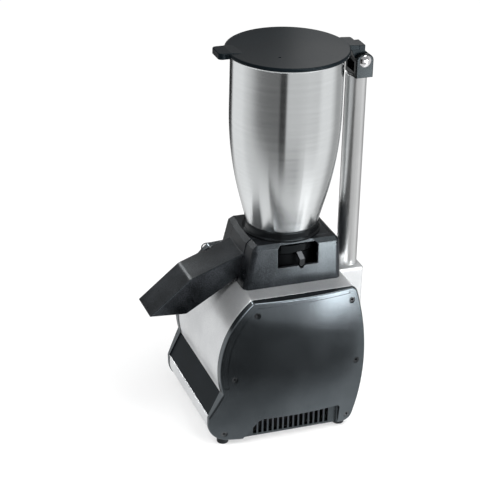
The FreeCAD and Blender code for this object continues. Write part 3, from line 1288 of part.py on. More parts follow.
def lid_arm():
    """The arm behind the lid with the block and the knuckle that the pin goes through."""
    arm = plate([V(-ARM_HALF_W, LID_DISC_R, ARM_LOW_Z), V(-ARM_HALF_W, LID_DISC_R, LID_RIM_Z - LID_DISH),
                 V(-ARM_HALF_W, LID_R - 1.0, LID_RIM_Z), V(-ARM_HALF_W, ARM_REAR_Y, LID_RIM_Z - ARM_FALL),
                 V(-ARM_HALF_W, ARM_REAR_Y, ARM_LOW_Z)], V(2 * ARM_HALF_W, 0, 0))
    arm = round_edges(arm, ARM_CORNER_R, lambda e: runs_along(e, V(0, 0, 1))
                      and e.CenterOfMass.y > ARM_REAR_Y - 0.01)
    half = BRACKET_HALF_W - EAR_T - REST_GAP
    knuckle = rod(KNUCKLE_R, V(-half, HINGE_Y, HINGE_Z), V(half, HINGE_Y, HINGE_Z))
    block = plate([V(-half, HINGE_Y, HINGE_Z), V(-half, HINGE_Y - KNUCKLE_R, HINGE_Z),
                   V(-half, LID_R + 2 * NUDGE, ARM_LOW_Z), V(-half, LID_R + 2 * NUDGE, LID_RIM_Z - 1.0),
                   V(-half, ARM_REAR_Y - 1.0, LID_RIM_Z - 1.0 - ARM_FALL), V(-half, ARM_REAR_Y, BLOCK_TOP_Z),
                   V(-half, BLOCK_REAR_Y, BLOCK_TOP_Z), V(-half, BLOCK_REAR_Y, HINGE_Z)], V(2 * half, 0, 0))
    arm = arm.fuse(block).fuse(knuckle)
    return arm.cut(disc(LID_SKIRT_R, 0, lid_seat_z()))


def make_lid():
    """The black lid with its finger tab, hinge arm and knuckle."""
    lid = fused([lid_plate(), lid_tab(), lid_arm()])
    lid = lid.cut(rod(PIN_R + RUN_GAP, V(-LID_R, HINGE_Y, HINGE_Z), V(LID_R, HINGE_Y, HINGE_Z)))
    dimple = Part.makeSphere(DIMPLE_R, V(DIMPLE_X, DIMPLE_Y, lid_top_z(math.hypot(DIMPLE_X, DIMPLE_Y))))
    lid = lid.cut(dimple).cut(lid_seal_ring(0.0)).cut(magnet_slug(0.0))
    return lid.removeSplitter()


def lid_seal_ring(drop):
    """The seal's ring; it stands a little proud of the lid's underside."""
    outer = HOPPER_R + SEAL_RING_W / 2
    return ring(outer, outer - SEAL_RING_W, lid_seat_z() - drop, lid_seat_z() + SEAL_RING_T)


def make_lid_seal():
    """The rubber ring between the lid and the hopper's rim."""
    return lid_seal_ring(lid_seat_z() - HOPPER_RIM_Z - REST_GAP)


def magnet_slug(margin):
    """The magnet's place in the knuckle, straight above the switch."""
    start = V(0, HINGE_Y - KNUCKLE_R + NUDGE, HINGE_Z - NUDGE)
    return rod(MAGNET_R + margin, start, start + V(0, MAGNET_LENGTH, 0))


def make_lid_magnet():
    """The magnet that tells the interlock that the lid is shut."""
    return magnet_slug(0.0)


# ================================================================ motor
def motor_top_z():
    """Where the motor meets the underside of the casting's top wall."""
    return body_top_z() - BODY_WALL


def motor_bottom_z():
    """Underside of the motor's lower end bell."""
    return motor_top_z() - MOTOR_H


def stator_zs():
    """Lower and upper end of the stator pack."""
    top = motor_top_z() - STATOR_TOP_DROP
    return top - STATOR_H, top


def fan_zs():
    """Lower and upper end of the cooling fan."""
    top = motor_bottom_z() - FAN_DROP
    return top - FAN_H, top


def motor_bolt_spots():
    """Four bolts on a circle, between the screws of the head."""
    spots = []
    for index in range(4):
        angle = math.radians(45 + 90 * index)
        spots.append((MOTOR_BOLT_CIRCLE * math.cos(angle), MOTOR_BOLT_CIRCLE * math.sin(angle)))
    return spots


def make_motor_shell():
    """The motor's drawn steel can."""
    return ring(MOTOR_R, MOTOR_R - MOTOR_SHELL_T, motor_bottom_z() + BELL_T, motor_top_z() - BELL_T)


def make_upper_bell():
    """The motor's upper end bell, bolted under the casting's top wall."""
    bell = disc(MOTOR_R, motor_top_z() - BELL_T, motor_top_z())
    bell = bell.cut(disc(BEARING_R, 0, motor_top_z() - BELL_T + BEARING_T))
    bell = bell.cut(disc(SHAFT_HOLE_R, 0, 2 * motor_top_z()))
    for x, y in motor_bolt_spots():
        bell = bell.cut(disc(MOTOR_BOLT_R, motor_top_z() - BELL_T + BELL_FLOOR_T, 2 * motor_top_z(), x, y))
    return bell


def make_lower_bell():
    """The motor's lower end bell with air holes for the fan."""
    low = motor_bottom_z()
    top = low + BELL_T
    bell = disc(MOTOR_R, low, top)
    bell = bell.cut(disc(BEARING_R, top - BEARING_T, top + NUDGE))
    bell = bell.cut(disc(SHAFT_R + BELL_SHAFT_GAP, low - NUDGE, top + NUDGE))
    for index in range(BELL_HOLES):
        angle = math.radians(360 * index / BELL_HOLES)
        spot = ((BEARING_R + MOTOR_R) / 2 * math.cos(angle), (BEARING_R + MOTOR_R) / 2 * math.sin(angle))
        bell = bell.cut(disc(BELL_HOLE_R, low - NUDGE, top + NUDGE, spot[0], spot[1]))
    return bell


def make_bearing(z0):
    """A ball bearing, drawn as its two races in one ring."""
    return ring(BEARING_R, SHAFT_R + RUN_GAP, z0, z0 + BEARING_T)


def make_stator():
    """The stator pack with its windings."""
    low, high = stator_zs()
    core = ring(MOTOR_R - MOTOR_SHELL_T, STATOR_BORE, low, high)
    winding = ring(MOTOR_R - MOTOR_SHELL_T - WINDING_INSET, STATOR_BORE + WINDING_GAP, low - WINDING_LOW,
                   high + WINDING_HIGH)
    return fused([core, winding])


def make_rotor():
    """The rotor pack on the shaft."""
    low, high = stator_zs()
    return ring(ROTOR_R, SHAFT_R, low + ROTOR_OVERHANG, high - ROTOR_OVERHANG)


def make_drive_shaft():
    """The one shaft that carries fan, rotor and crusher disc."""
    return disc(SHAFT_R, motor_bottom_z() - SHAFT_TAIL, BLADE_TOP_Z - HUB_DROP + HUB_NUT_H - HUB_NUT_CAP)


def make_cooling_fan():
    """The fan under the motor: a hub with flat blades."""
    low, high = fan_zs()
    parts = [disc(FAN_HUB_R, low, high), disc(FAN_R, high - FAN_DISC_T, high)]
    for index in range(FAN_BLADES):
        vane = box((FAN_HUB_R - 1.0, FAN_R), (-FAN_BLADE_T / 2, FAN_BLADE_T / 2), (low, high))
        vane.rotate(V(0, 0, 0), V(0, 0, 1), 360.0 * index / FAN_BLADES)
        parts.append(vane)
    return fused(parts).cut(disc(SHAFT_R, low - NUDGE, high + NUDGE))


def make_motor_bolts():
    """The bolts that hang the motor under the casting's top wall."""
    bolts = []
    seat = body_top_z()
    for x, y in motor_bolt_spots():
        head = disc(MOTOR_BOLT_HEAD_R, seat, seat + MOTOR_BOLT_HEAD_H, x, y)
        shank = disc(MOTOR_BOLT_R, seat - MOTOR_BOLT_LENGTH, seat, x, y)
        bolts.append(head.fuse(shank).removeSplitter())
    return group(bolts)


def capacitor_z():
    """Height of the capacitor's axis above its saddle."""
    return BASE_BOTTOM_Z + BASE_PLATE_T + SADDLE_T + CAPACITOR_R


def make_capacitor():
    """The motor's run capacitor, lying across the base."""
    half = CAPACITOR_LENGTH / 2
    z = capacitor_z()
    return rod(CAPACITOR_R, V(-half, CAPACITOR_Y, z), V(half, CAPACITOR_Y, z))


def make_capacitor_saddle():
    """The saddle that holds the capacitor on the base plate."""
    z = capacitor_z()
    block = box((-SADDLE_HALF_X, SADDLE_HALF_X), (CAPACITOR_Y - SADDLE_HALF_Y, CAPACITOR_Y + SADDLE_HALF_Y),
                (BASE_BOTTOM_Z + BASE_PLATE_T, z - CAPACITOR_R / 3))
    hole = rod(CAPACITOR_R, V(-2 * SADDLE_HALF_X, CAPACITOR_Y, z), V(2 * SADDLE_HALF_X, CAPACITOR_Y, z))
    return block.cut(hole)


# ================================================================ power inlet
def rear_face_y():
    """Outside of the casting's back wall at its apex."""
    return REAR_APEX_Y - BODY_REVEAL


def switch_body(margin):
    """The switch's block behind its bezel; the margin gives the hole that it sits in."""
    return box((SWITCH_X - SWITCH_HALF_X - margin, SWITCH_X + SWITCH_HALF_X + margin),
               (rear_face_y() - SWITCH_DEPTH, rear_face_y() + margin),
               (SWITCH_Z - SWITCH_HALF_Z - margin, SWITCH_Z + SWITCH_HALF_Z + margin))


def make_switch_housing():
    """The mains switch's body and bezel in the casting's back wall."""
    half_x = SWITCH_HALF_X + SWITCH_BEZEL
    half_z = SWITCH_HALF_Z + SWITCH_BEZEL
    bezel = box((SWITCH_X - half_x, SWITCH_X + half_x), (rear_face_y(), rear_face_y() + SWITCH_BEZEL_T),
                (SWITCH_Z - half_z, SWITCH_Z + half_z))
    bezel = round_edges(bezel, SWITCH_CORNER_R, lambda e: runs_along(e, V(0, 1, 0)))
    body = fused([switch_body(0.0), bezel])
    well = box((SWITCH_X - ROCKER_HALF_X - REST_GAP, SWITCH_X + ROCKER_HALF_X + REST_GAP),
               (rear_face_y() - SWITCH_DEPTH + SWITCH_FLOOR_T, rear_face_y() + SWITCH_DEPTH),
               (SWITCH_Z - ROCKER_HALF_Z - ROCKER_GAP_Z, SWITCH_Z + ROCKER_HALF_Z + ROCKER_GAP_Z))
    return body.cut(well)


def rocker_pivot():
    """Centre of the rocker's pivot."""
    return V(SWITCH_X, rear_face_y() - ROCKER_PIVOT_DEPTH, SWITCH_Z)


def make_switch_rocker():
    """The rocker button, drawn in its off position."""
    pivot = rocker_pivot()
    x0 = SWITCH_X - ROCKER_HALF_X
    face_y = rear_face_y() + SWITCH_BEZEL_T
    lip_y = face_y + ROCKER_PROUD
    lip = ROCKER_HALF_Z - ROCKER_END
    foot_y = pivot.y - ROCKER_FOOT_T
    foot = ROCKER_HALF_Z - ROCKER_FOOT
    points = [V(x0, lip_y, SWITCH_Z - lip), V(x0, face_y - ROCKER_DIP, SWITCH_Z),
              V(x0, lip_y, SWITCH_Z + lip), V(x0, foot_y, SWITCH_Z + foot),
              V(x0, foot_y, SWITCH_Z - foot)]
    rocker = plate(points, V(2 * ROCKER_HALF_X, 0, 0))
    rocker.rotate(pivot, V(1, 0, 0), ROCKER_TILT)
    return rocker


def make_cord_gland():
    """The moulded gland that the mains lead would leave by."""
    y0 = REAR_APEX_Y - 2 * BODY_WALL
    face = rear_face_y()
    start = V(GLAND_X, y0, GLAND_Z)
    seat = V(GLAND_X, face, GLAND_Z)
    end = V(GLAND_X, face + GLAND_LENGTH, GLAND_Z)
    flange = rod(GLAND_FLANGE_R, seat, seat + V(0, GLAND_FLANGE_T, 0))
    sleeve = Part.makeCone(GLAND_R, GLAND_R - GLAND_TAPER, GLAND_LENGTH, seat, V(0, 1, 0))
    gland = fused([rod(GLAND_R, start, seat), flange, sleeve])
    return gland.cut(rod(GLAND_BORE, start - V(0, NUDGE, 0), end + V(0, NUDGE, 0)))


# ================================================================ assembly
def place(shape):
    """Moves a piece from the hopper's axis to the part's frame."""
    moved = shape.copy()
    moved.translate(V(0, HOPPER_Y, 0))
    return moved


def build():
    """Every node of the machine by name."""
    right_cover = make_side_cover()
    return {
        "body_casting": make_body_casting(),
        "right_side_cover": right_cover,
        "left_side_cover": mirrored(right_cover),
        "cover_screws": make_cover_screws(),
        "toe_plate": make_toe_plate(),
        "base_plate": make_base_plate(),
        "base_screws": make_base_screws(),
        "rubber_feet": make_rubber_feet(),
        "head_housing": make_head_housing(),
        "head_screws": make_head_screws(),
        "spout": make_spout(),
        "spout_clip": make_spout_clip(),
        "crusher_chamber": make_crusher_chamber(),
        "shaft_seal": make_shaft_seal(),
        "crusher_disc": make_crusher_disc(),
        "hub_nut": make_hub_nut(),
        "breaker_comb": make_breaker_comb(),
        "adjust_ring": make_adjust_ring(),
        "adjust_lever": make_adjust_lever(),
        "hopper_bowl": make_hopper_bowl(),
        "hopper_collar": make_hopper_collar(),
        "post_tube": make_post_tube(),
        "post_bracket": make_post_bracket(),
        "hinge_pin": make_hinge_pin(),
        "reed_switch": make_reed_switch(),
        "lid": make_lid(),
        "lid_seal": make_lid_seal(),
        "lid_magnet": make_lid_magnet(),
        "motor_shell": make_motor_shell(),
        "motor_upper_bell": make_upper_bell(),
        "motor_lower_bell": make_lower_bell(),
        "upper_bearing": make_bearing(motor_top_z() - BELL_T),
        "lower_bearing": make_bearing(motor_bottom_z() + BELL_T - BEARING_T),
        "stator": make_stator(),
        "rotor": make_rotor(),
        "drive_shaft": make_drive_shaft(),
        "cooling_fan": make_cooling_fan(),
        "motor_bolts": make_motor_bolts(),
        "capacitor": make_capacitor(),
        "capacitor_saddle": make_capacitor_saddle(),
        "switch_housing": make_switch_housing(),
        "switch_rocker": make_switch_rocker(),
        "cord_gland": make_cord_gland(),
    }


os.makedirs("parts", exist_ok=True)
for name, shape in build().items():
    place(shape).exportStep("parts/" + name + ".step")
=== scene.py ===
import bpy
import json
import math
from collections import namedtuple
from mathutils import Matrix, Vector

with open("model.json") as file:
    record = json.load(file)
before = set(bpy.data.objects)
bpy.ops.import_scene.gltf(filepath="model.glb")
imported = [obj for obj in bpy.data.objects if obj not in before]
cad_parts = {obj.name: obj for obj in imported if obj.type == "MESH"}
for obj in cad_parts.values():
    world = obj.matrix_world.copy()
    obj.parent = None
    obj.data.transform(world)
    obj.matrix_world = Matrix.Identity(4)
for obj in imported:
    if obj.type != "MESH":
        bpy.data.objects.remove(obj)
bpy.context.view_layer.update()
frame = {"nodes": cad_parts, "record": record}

MM = 0.001

# ------------------------------------------------------------------ camera
# Placed about the hopper's axis, which lies HOPPER_Y behind the frame's origin. Lengths are in
# millimetres and angles in degrees; the azimuth is counted from -Y towards +X.
HOPPER_Y = 35.1
CAMERA_AZIMUTH = 69.856
CAMERA_ELEVATION = 26.054
CAMERA_ROLL = 1.406
CAMERA_DISTANCE = 2023.81
CAMERA_TARGET = (36.17, -65.74, 250.12)
CAMERA_LENS = 129.39
SENSOR_WIDTH = 36.0
CLIP_START = 0.05           # metres
CLIP_END = 60.0

# ------------------------------------------------------------------ floor
FLOOR_SIZE = 24.0           # metres
FLOOR_ALBEDO = 0.86
FLOOR_GLOW = 1.03           # the floor's own white, seen by the camera alone
GLOW_SHARE_NEAR = 0.38      # its share under the object, where the floor keeps the shadow
GLOW_SHARE_FAR = 0.97       # its share away from the object
GLOW_NEAR = 0.30            # the distances from the origin between which the share grows
GLOW_FAR = 0.90

# ------------------------------------------------------------------ tent
# Azimuths are counted from +X towards +Y, elevations from the horizon, both in degrees.
WHITE = 1.0                 # what the camera sees behind the object
ROOM_LEVEL = 0.80           # what lights matt surfaces
# What glossy surfaces see: the paper sweep below, the tent's side, and a dark roof above.
SWEEP_LEVEL = 1.05
TENT_LEVEL = 0.78
ROOF_LEVEL = 0.48
SWEEP_EDGE = (-52.0, -32.0)
ROOF_EDGE = (-10.0, 12.0)
DARKEST = 0.02
SLANT_START = -22.0         # a slanted panel leans over below this elevation
# Bright panels and dark flags on the tent. Each has a soft margin outside its four edges. The
# slant moves the left edge to the right by so many degrees for each degree below SLANT_START.
Panel = namedtuple("Panel", "left left_soft right right_soft low low_soft top top_soft slant strength")
PANELS = {
    "front_panel": Panel(-158.0, 7.0, -124.0, 20.0, -80.0, 5.0, 20.0, 20.0, 0.0, 0.22),
    "far_flag": Panel(-184.0, 5.0, -166.0, 11.0, -22.0, 7.0, 20.0, 20.0, 0.0, -0.95),
    "broad_flag": Panel(-72.0, 38.0, -21.0, 4.0, -34.0, 13.0, 5.0, 15.0, 2.2, -0.62),
    "thin_flag": Panel(-31.0, 3.0, -23.0, 4.0, -38.0, 12.0, 5.0, 15.0, 0.0, -0.30),
    "low_flag": Panel(-18.0, 3.0, 4.0, 24.0, -42.0, 7.0, -38.0, 14.0, 0.0, -0.48),
    "bright_panel": Panel(60.0, 14.0, 80.0, 14.0, -80.0, 5.0, 20.0, 20.0, 0.0, 0.22),
    "low_panel": Panel(36.0, 12.0, 52.0, 16.0, -70.0, 10.0, -42.0, 7.0, 0.0, 0.60),
    "rear_flag": Panel(104.0, 14.0, 140.0, 12.0, -60.0, 10.0, 10.0, 15.0, 0.0, -0.30),
}

# ------------------------------------------------------------------ softboxes
# Rectangular lamps that look at a point AIM_Z above the origin, from the given direction.
AIM_Z = 0.18
Softbox = namedtuple("Softbox", "azimuth elevation distance width height brightness")
SOFTBOXES = {
    "side_box": Softbox(38.0, 4.0, 0.85, 0.22, 0.46, 12.5),     # glow high on the right cover
    "ridge_box": Softbox(22.0, 9.0, 0.85, 0.26, 0.20, 13.0),    # fill across the cover's upper half
    "back_box": Softbox(-164.0, 28.0, 2.0, 0.24, 0.36, 23.0),   # light on the chute's top and bend
    "top_box": Softbox(42.0, 64.0, 1.9, 1.20, 1.20, 5.5),       # bevels, the casting's top, floor
    "front_box": Softbox(-58.0, 42.0, 2.2, 0.90, 0.90, 9.0),    # the casting's bow, floor
    "rear_box": Softbox(140.0, 51.5, 0.53, 0.14, 0.14, 1.1),    # sheen on the lid's rear
    "head_box": Softbox(30.0, -3.0, 0.34, 0.07, 0.09, 80.0),    # glow on the head's right face
}
# No lamp reaches the hopper or the post, where it would show as a hard stripe. Some lamps are
# kept off further nodes that they would whiten, and some light only the nodes that are named.
SPARED = ("hopper_bowl", "post_tube")
ALSO_SPARED = {"front_box": ("lid",), "back_box": ("lid",), "ridge_box": ("body_casting",)}
LIT_ALONE = {"head_box": ("head_housing", "spout")}

# ------------------------------------------------------------------ flag card
# A dark card that stands beside the right cover, shows only in reflections and thins out
# towards its foot. Lengths are in metres.
CARD_X = 0.140
CARD_FRONT = -0.15
CARD_BACK = 0.16
CARD_FRONT_TOP = 0.190
CARD_BACK_TOP = 0.122
CARD_FOOT = 0.012
CARD_DENSE = 0.085          # the height from which the card has its full density
CARD_DENSITY = 0.86
CARD_ALBEDO = 0.02

# ------------------------------------------------------------------ surfaces
BLACK_SHEEN = (0.80, 0.93, 1.0, 1.0)    # cool cast of the reflections on what isn't metal
BEVEL_SAMPLES = 6
EDGE_TURN = (0.995, 0.86)   # cosines of the eased normal's turn, from no edge to a full edge
MOTTLE_SCALE = 22.0         # per metre
MOTTLE = (0.3, 0.7)         # the noise values between which the mottling changes the roughness
FLECKS = (0.12, 0.42)       # the values of the flecks between which dark gives way to light
WORN_AND_LIT = (0.35, 0.6)          # the mottling's values between which edges go from less to more lightened, as wear and as a painted highlight
RUBBED_SMOOTH = 0.06        # how much smoother a rubbed edge is
STREAKS = (0.35, 0.65)      # the noise values between which the brushing changes
SMEARS = (0.35, 0.7)        # the noise values between which the smears change the roughness
FAINT = 0.3                 # strength of the relief of brushing and smears


# ------------------------------------------------------------------ node helpers
def linear(value):
    """An sRGB level from 0 to 255 as a linear one."""
    level = value / 255.0
    if level <= 0.04045:
        return level / 12.92
    return ((level + 0.055) / 1.055) ** 2.4


def tint(red, green, blue):
    """An opaque linear colour from sRGB levels."""
    return (linear(red), linear(green), linear(blue), 1.0)


def dimmed(colour, share):
    """An opaque colour whose channels are scaled by a share."""
    return tuple(share * channel for channel in colour[:3]) + (1.0,)


class Nodes:
    """Short calls that add nodes to one material or world."""

    def __init__(self, tree):
        self.tree = tree

    def add(self, kind, **settings):
        node = self.tree.nodes.new(kind)
        for key, value in settings.items():
            setattr(node, key, value)
        return node

    def feed(self, socket, value):
        """Links a socket, or sets the input to a constant."""
        if isinstance(value, bpy.types.NodeSocket):
            self.tree.links.new(value, socket)
        else:
            socket.default_value = value

    def math(self, operation, *values):
        node = self.add("ShaderNodeMath", operation=operation)
        for socket, value in zip(node.inputs, values):
            self.feed(socket, value)
        return node.outputs[0]

    def remap(self, value, low, high, to_low, to_high):
        """A smooth step from to_low at low to to_high at high."""
        node = self.add("ShaderNodeMapRange", interpolation_type="SMOOTHSTEP")
        self.feed(node.inputs["Value"], value)
        self.feed(node.inputs["From Min"], low)
        self.feed(node.inputs["From Max"], high)
        self.feed(node.inputs["To Min"], to_low)
        self.feed(node.inputs["To Max"], to_high)
        return node.outputs["Result"]

    def place(self, stretch=(1.0, 1.0, 1.0)):
        """Object coordinates, stretched."""
        where = self.add("ShaderNodeTexCoord")
        mapping = self.add("ShaderNodeMapping")
        self.feed(mapping.inputs["Vector"], where.outputs["Object"])
        self.feed(mapping.inputs["Scale"], stretch)
        return mapping.outputs["Vector"]

    def noise(self, vector, scale, detail, rough, distortion=0.0):
        node = self.add("ShaderNodeTexNoise")
        self.feed(node.inputs["Vector"], vector)
        self.feed(node.inputs["Scale"], scale)
        self.feed(node.inputs["Detail"], detail)
        self.feed(node.inputs["Roughness"], rough)
        self.feed(node.inputs["Distortion"], distortion)
        return node.outputs["Fac"]

    def blend(self, factor, first, second):
        """A colour between two."""
        node = self.add("ShaderNodeMix", data_type="RGBA")
        self.feed(node.inputs[0], factor)
        self.feed(node.inputs[6], first)
        self.feed(node.inputs[7], second)
        return node.outputs[2]

    def bump(self, height, distance, strength=1.0, below=None):
        """A normal with fine relief, on top of the normal below."""
        node = self.add("ShaderNodeBump")
        self.feed(node.inputs["Strength"], strength)
        self.feed(node.inputs["Distance"], distance)
        self.feed(node.inputs["Height"], height)
        if below is not None:
            self.feed(node.inputs["Normal"], below)
        return node.outputs["Normal"]

    def mix(self, factor, first, second):
        """A shader between two."""
        node = self.add("ShaderNodeMixShader")
        self.feed(node.inputs[0], factor)
        self.feed(node.inputs[1], first)
        self.feed(node.inputs[2], second)
        return node.outputs[0]


# ------------------------------------------------------------------ materials
def new_material(name, metallic, specular):
    """A node material with its shader; constants are set on the shader itself."""
    material = bpy.data.materials.new(name)
    material.use_nodes = True
    shader = material.node_tree.nodes["Principled BSDF"]
    shader.inputs["Metallic"].default_value = metallic
    shader.inputs["Specular IOR Level"].default_value = specular
    if metallic == 0.0:
        shader.inputs["Specular Tint"].default_value = BLACK_SHEEN
    return material, Nodes(material.node_tree), shader


def rounded_edges(nodes, radius_mm):
    """The normal with every edge eased by a small radius, and how close an edge is (0 to 1)."""
    bevel = nodes.add("ShaderNodeBevel", samples=BEVEL_SAMPLES)
    nodes.feed(bevel.inputs["Radius"], radius_mm * MM)
    sharp = nodes.add("ShaderNodeNewGeometry").outputs["Normal"]
    dot = nodes.add("ShaderNodeVectorMath", operation="DOT_PRODUCT")
    nodes.feed(dot.inputs[0], bevel.outputs["Normal"])
    nodes.feed(dot.inputs[1], sharp)
    edge = nodes.remap(dot.outputs["Value"], *EDGE_TURN, 0.0, 1.0)
    return bevel.outputs["Normal"], edge


def grained(name, dark, light, rough, grain_mm, depth_mm, metallic=0.0, specular=0.5, wear_and_highlight=None,
            edge_mm=0.5):
    """Moulded or painted skin: fine grain, slight mottling, edges eased and lighter in colour, as wear
    and as a painted highlight.
    """
    material, nodes, shader = new_material(name, metallic, specular)
    where = nodes.place()
    grain = nodes.noise(where, 1.0 / (grain_mm * MM), detail=3.0, rough=0.6)
    mottle = nodes.noise(where, MOTTLE_SCALE, detail=3.0, rough=0.55)
    fleck = nodes.math("MULTIPLY", grain, mottle)
    colour = nodes.blend(nodes.remap(fleck, *FLECKS, 0.0, 1.0), dark, light)
    roughness = nodes.remap(mottle, *MOTTLE, rough - 0.01, rough + 0.015)
    eased = None
    if edge_mm > 0.0:
        eased, edge = rounded_edges(nodes, edge_mm)
    # Edges are lightened in colour: partly wear, partly a painted highlight of grazing light on them.
    if wear_and_highlight is not None:
        rubbed_and_lit = nodes.math("MULTIPLY", edge, nodes.remap(mottle, *WORN_AND_LIT, 0.25, 0.8))
        colour = nodes.blend(rubbed_and_lit, colour, wear_and_highlight)
        roughness = nodes.math("SUBTRACT", roughness, nodes.math("MULTIPLY", edge, RUBBED_SMOOTH))
    nodes.feed(shader.inputs["Base Color"], colour)
    nodes.feed(shader.inputs["Roughness"], roughness)
    nodes.feed(shader.inputs["Normal"], nodes.bump(grain, depth_mm * MM, below=eased))
    return material


def brushed_round(name, base, rough):
    """Spun steel, brushed round the vertical axis."""
    material, nodes, shader = new_material(name, 1.0, 0.5)
    fine = nodes.noise(nodes.place(stretch=(1.0, 1.0, 90.0)), 30.0, detail=4.0, rough=0.7)
    coarse = nodes.noise(nodes.place(stretch=(0.6, 0.6, 22.0)), 14.0, detail=3.0, rough=0.6)
    streaks = nodes.math("ADD", nodes.math("MULTIPLY", fine, 0.55), nodes.math("MULTIPLY", coarse, 0.45))
    colour = nodes.blend(nodes.remap(streaks, *STREAKS, 0.0, 1.0), dimmed(base, 0.93), base)
    nodes.feed(shader.inputs["Base Color"], colour)
    nodes.feed(shader.inputs["Roughness"], nodes.remap(streaks, *STREAKS, rough - 0.015, rough + 0.02))
    nodes.feed(shader.inputs["Normal"], nodes.bump(streaks, 0.004 * MM, FAINT))
    shader.inputs["Anisotropic"].default_value = 0.9
    shader.inputs["Anisotropic Rotation"].default_value = 0.25
    tangent = nodes.add("ShaderNodeTangent", direction_type="RADIAL", axis="Z")
    nodes.feed(shader.inputs["Tangent"], tangent.outputs["Tangent"])
    return material


def polished(name, base, rough, metallic=1.0, specular=0.5, edge_mm=0.25):
    """Chrome, smooth metal or gloss plastic with faint smears."""
    material, nodes, shader = new_material(name, metallic, specular)
    smear = nodes.noise(nodes.place(stretch=(1.0, 1.0, 2.0)), 38.0, detail=4.0, rough=0.6, distortion=0.4)
    eased, _ = rounded_edges(nodes, edge_mm)
    nodes.feed(shader.inputs["Base Color"], nodes.blend(smear, dimmed(base, 0.9), base))
    nodes.feed(shader.inputs["Roughness"], nodes.remap(smear, *SMEARS, rough, rough + 0.06))
    nodes.feed(shader.inputs["Normal"], nodes.bump(smear, 0.02 * MM, FAINT, below=eased))
    return material


# The material of each slot, and below them those of single nodes.
MATERIALS = {
    "cast_silver": (grained, dict(dark=tint(220, 222, 224), light=tint(240, 242, 243), rough=0.36,
                                  grain_mm=0.9, depth_mm=0.012, metallic=0.85, edge_mm=5.0)),
    "cover_black": (grained, dict(dark=tint(82, 88, 92), light=tint(96, 102, 106), rough=0.25,
                                  grain_mm=0.8, depth_mm=0.016, metallic=0.97, edge_mm=0.0)),
    # The head's lighter edge colour is partly wear and partly a painted highlight.
    "head_black": (grained, dict(dark=tint(2, 3, 4), light=tint(38, 40, 43), rough=0.28,
                                 grain_mm=1.4, depth_mm=0.05, specular=0.15,
                                 wear_and_highlight=tint(74, 77, 80), edge_mm=0.9)),
    "gloss_black": (polished, dict(base=tint(11, 12, 13), rough=0.16, metallic=0.0, specular=0.2)),
    "toe_dark": (grained, dict(dark=tint(16, 20, 23), light=tint(23, 27, 31), rough=0.5,
                               grain_mm=0.9, depth_mm=0.02, specular=0.12)),
    "brushed_steel": (brushed_round, dict(base=tint(236, 239, 240), rough=0.19)),
    "post_metal": (grained, dict(dark=tint(222, 223, 223), light=tint(234, 235, 235), rough=0.30,
                                 grain_mm=0.3, depth_mm=0.002, metallic=1.0)),
    "chrome": (polished, dict(base=tint(232, 232, 234), rough=0.06)),
    "screw_black": (polished, dict(base=tint(122, 125, 128), rough=0.14, edge_mm=0.4)),
    "rubber": (grained, dict(dark=tint(12, 12, 13), light=tint(20, 20, 21), rough=0.7,
                             grain_mm=0.8, depth_mm=0.03)),
    "blade_steel": (polished, dict(base=tint(176, 178, 180), rough=0.3)),
    "zinc_steel": (polished, dict(base=tint(186, 188, 190), rough=0.3)),
    "lamination": (grained, dict(dark=tint(70, 68, 66), light=tint(96, 94, 92), rough=0.5,
                                 grain_mm=0.8, depth_mm=0.02, metallic=0.8)),
    "motor_paint": (grained, dict(dark=tint(52, 54, 57), light=tint(62, 64, 67), rough=0.45,
                                  grain_mm=0.8, depth_mm=0.02)),
    "capacitor_case": (grained, dict(dark=tint(206, 206, 202), light=tint(220, 220, 216), rough=0.4,
                                     grain_mm=0.9, depth_mm=0.01)),
    "nylon": (grained, dict(dark=tint(26, 26, 27), light=tint(38, 38, 39), rough=0.5,
                            grain_mm=0.7, depth_mm=0.02)),
    "magnet": (polished, dict(base=tint(190, 190, 192), rough=0.25)),
    "lever_dark": (polished, dict(base=tint(66, 68, 70), rough=0.2, edge_mm=0.8)),
    # The crusher chamber is cast metal. Its near-black colour is painted shade for the shadow it lies in
    # inside the head.
    "chamber_black": (grained, dict(dark=tint(4, 4, 5), light=tint(9, 9, 10), rough=0.6,
                                    grain_mm=1.5, depth_mm=0.1, specular=0.1)),
    "wire_dark": (polished, dict(base=tint(110, 112, 114), rough=0.25)),
    "lid_black": (grained, dict(dark=tint(10, 16, 20), light=tint(15, 22, 26), rough=0.30,
                                grain_mm=1.2, depth_mm=0.012, specular=0.09, edge_mm=0.9)),
}
# Nodes that look different from the rest of their slot. The crusher chamber's near-black colour is
# painted shade.
OWN_MATERIALS = {"crusher_chamber": "chamber_black", "adjust_lever": "lever_dark",
                 "spout_clip": "wire_dark", "lid": "lid_black"}


def make_materials():
    """Every material of the table."""
    return {name: make(name, **settings) for name, (make, settings) in MATERIALS.items()}


def dress_nodes(materials):
    """Gives every CAD node the material of its slot, or its own."""
    for part in frame["record"]["subparts"]:
        node = frame["nodes"][part["node"]]
        material = materials[OWN_MATERIALS.get(part["node"], part["material_slot"])]
        if not node.data.materials:
            node.data.materials.append(material)
        for slot in node.material_slots:
            slot.link = "OBJECT"
            slot.material = material


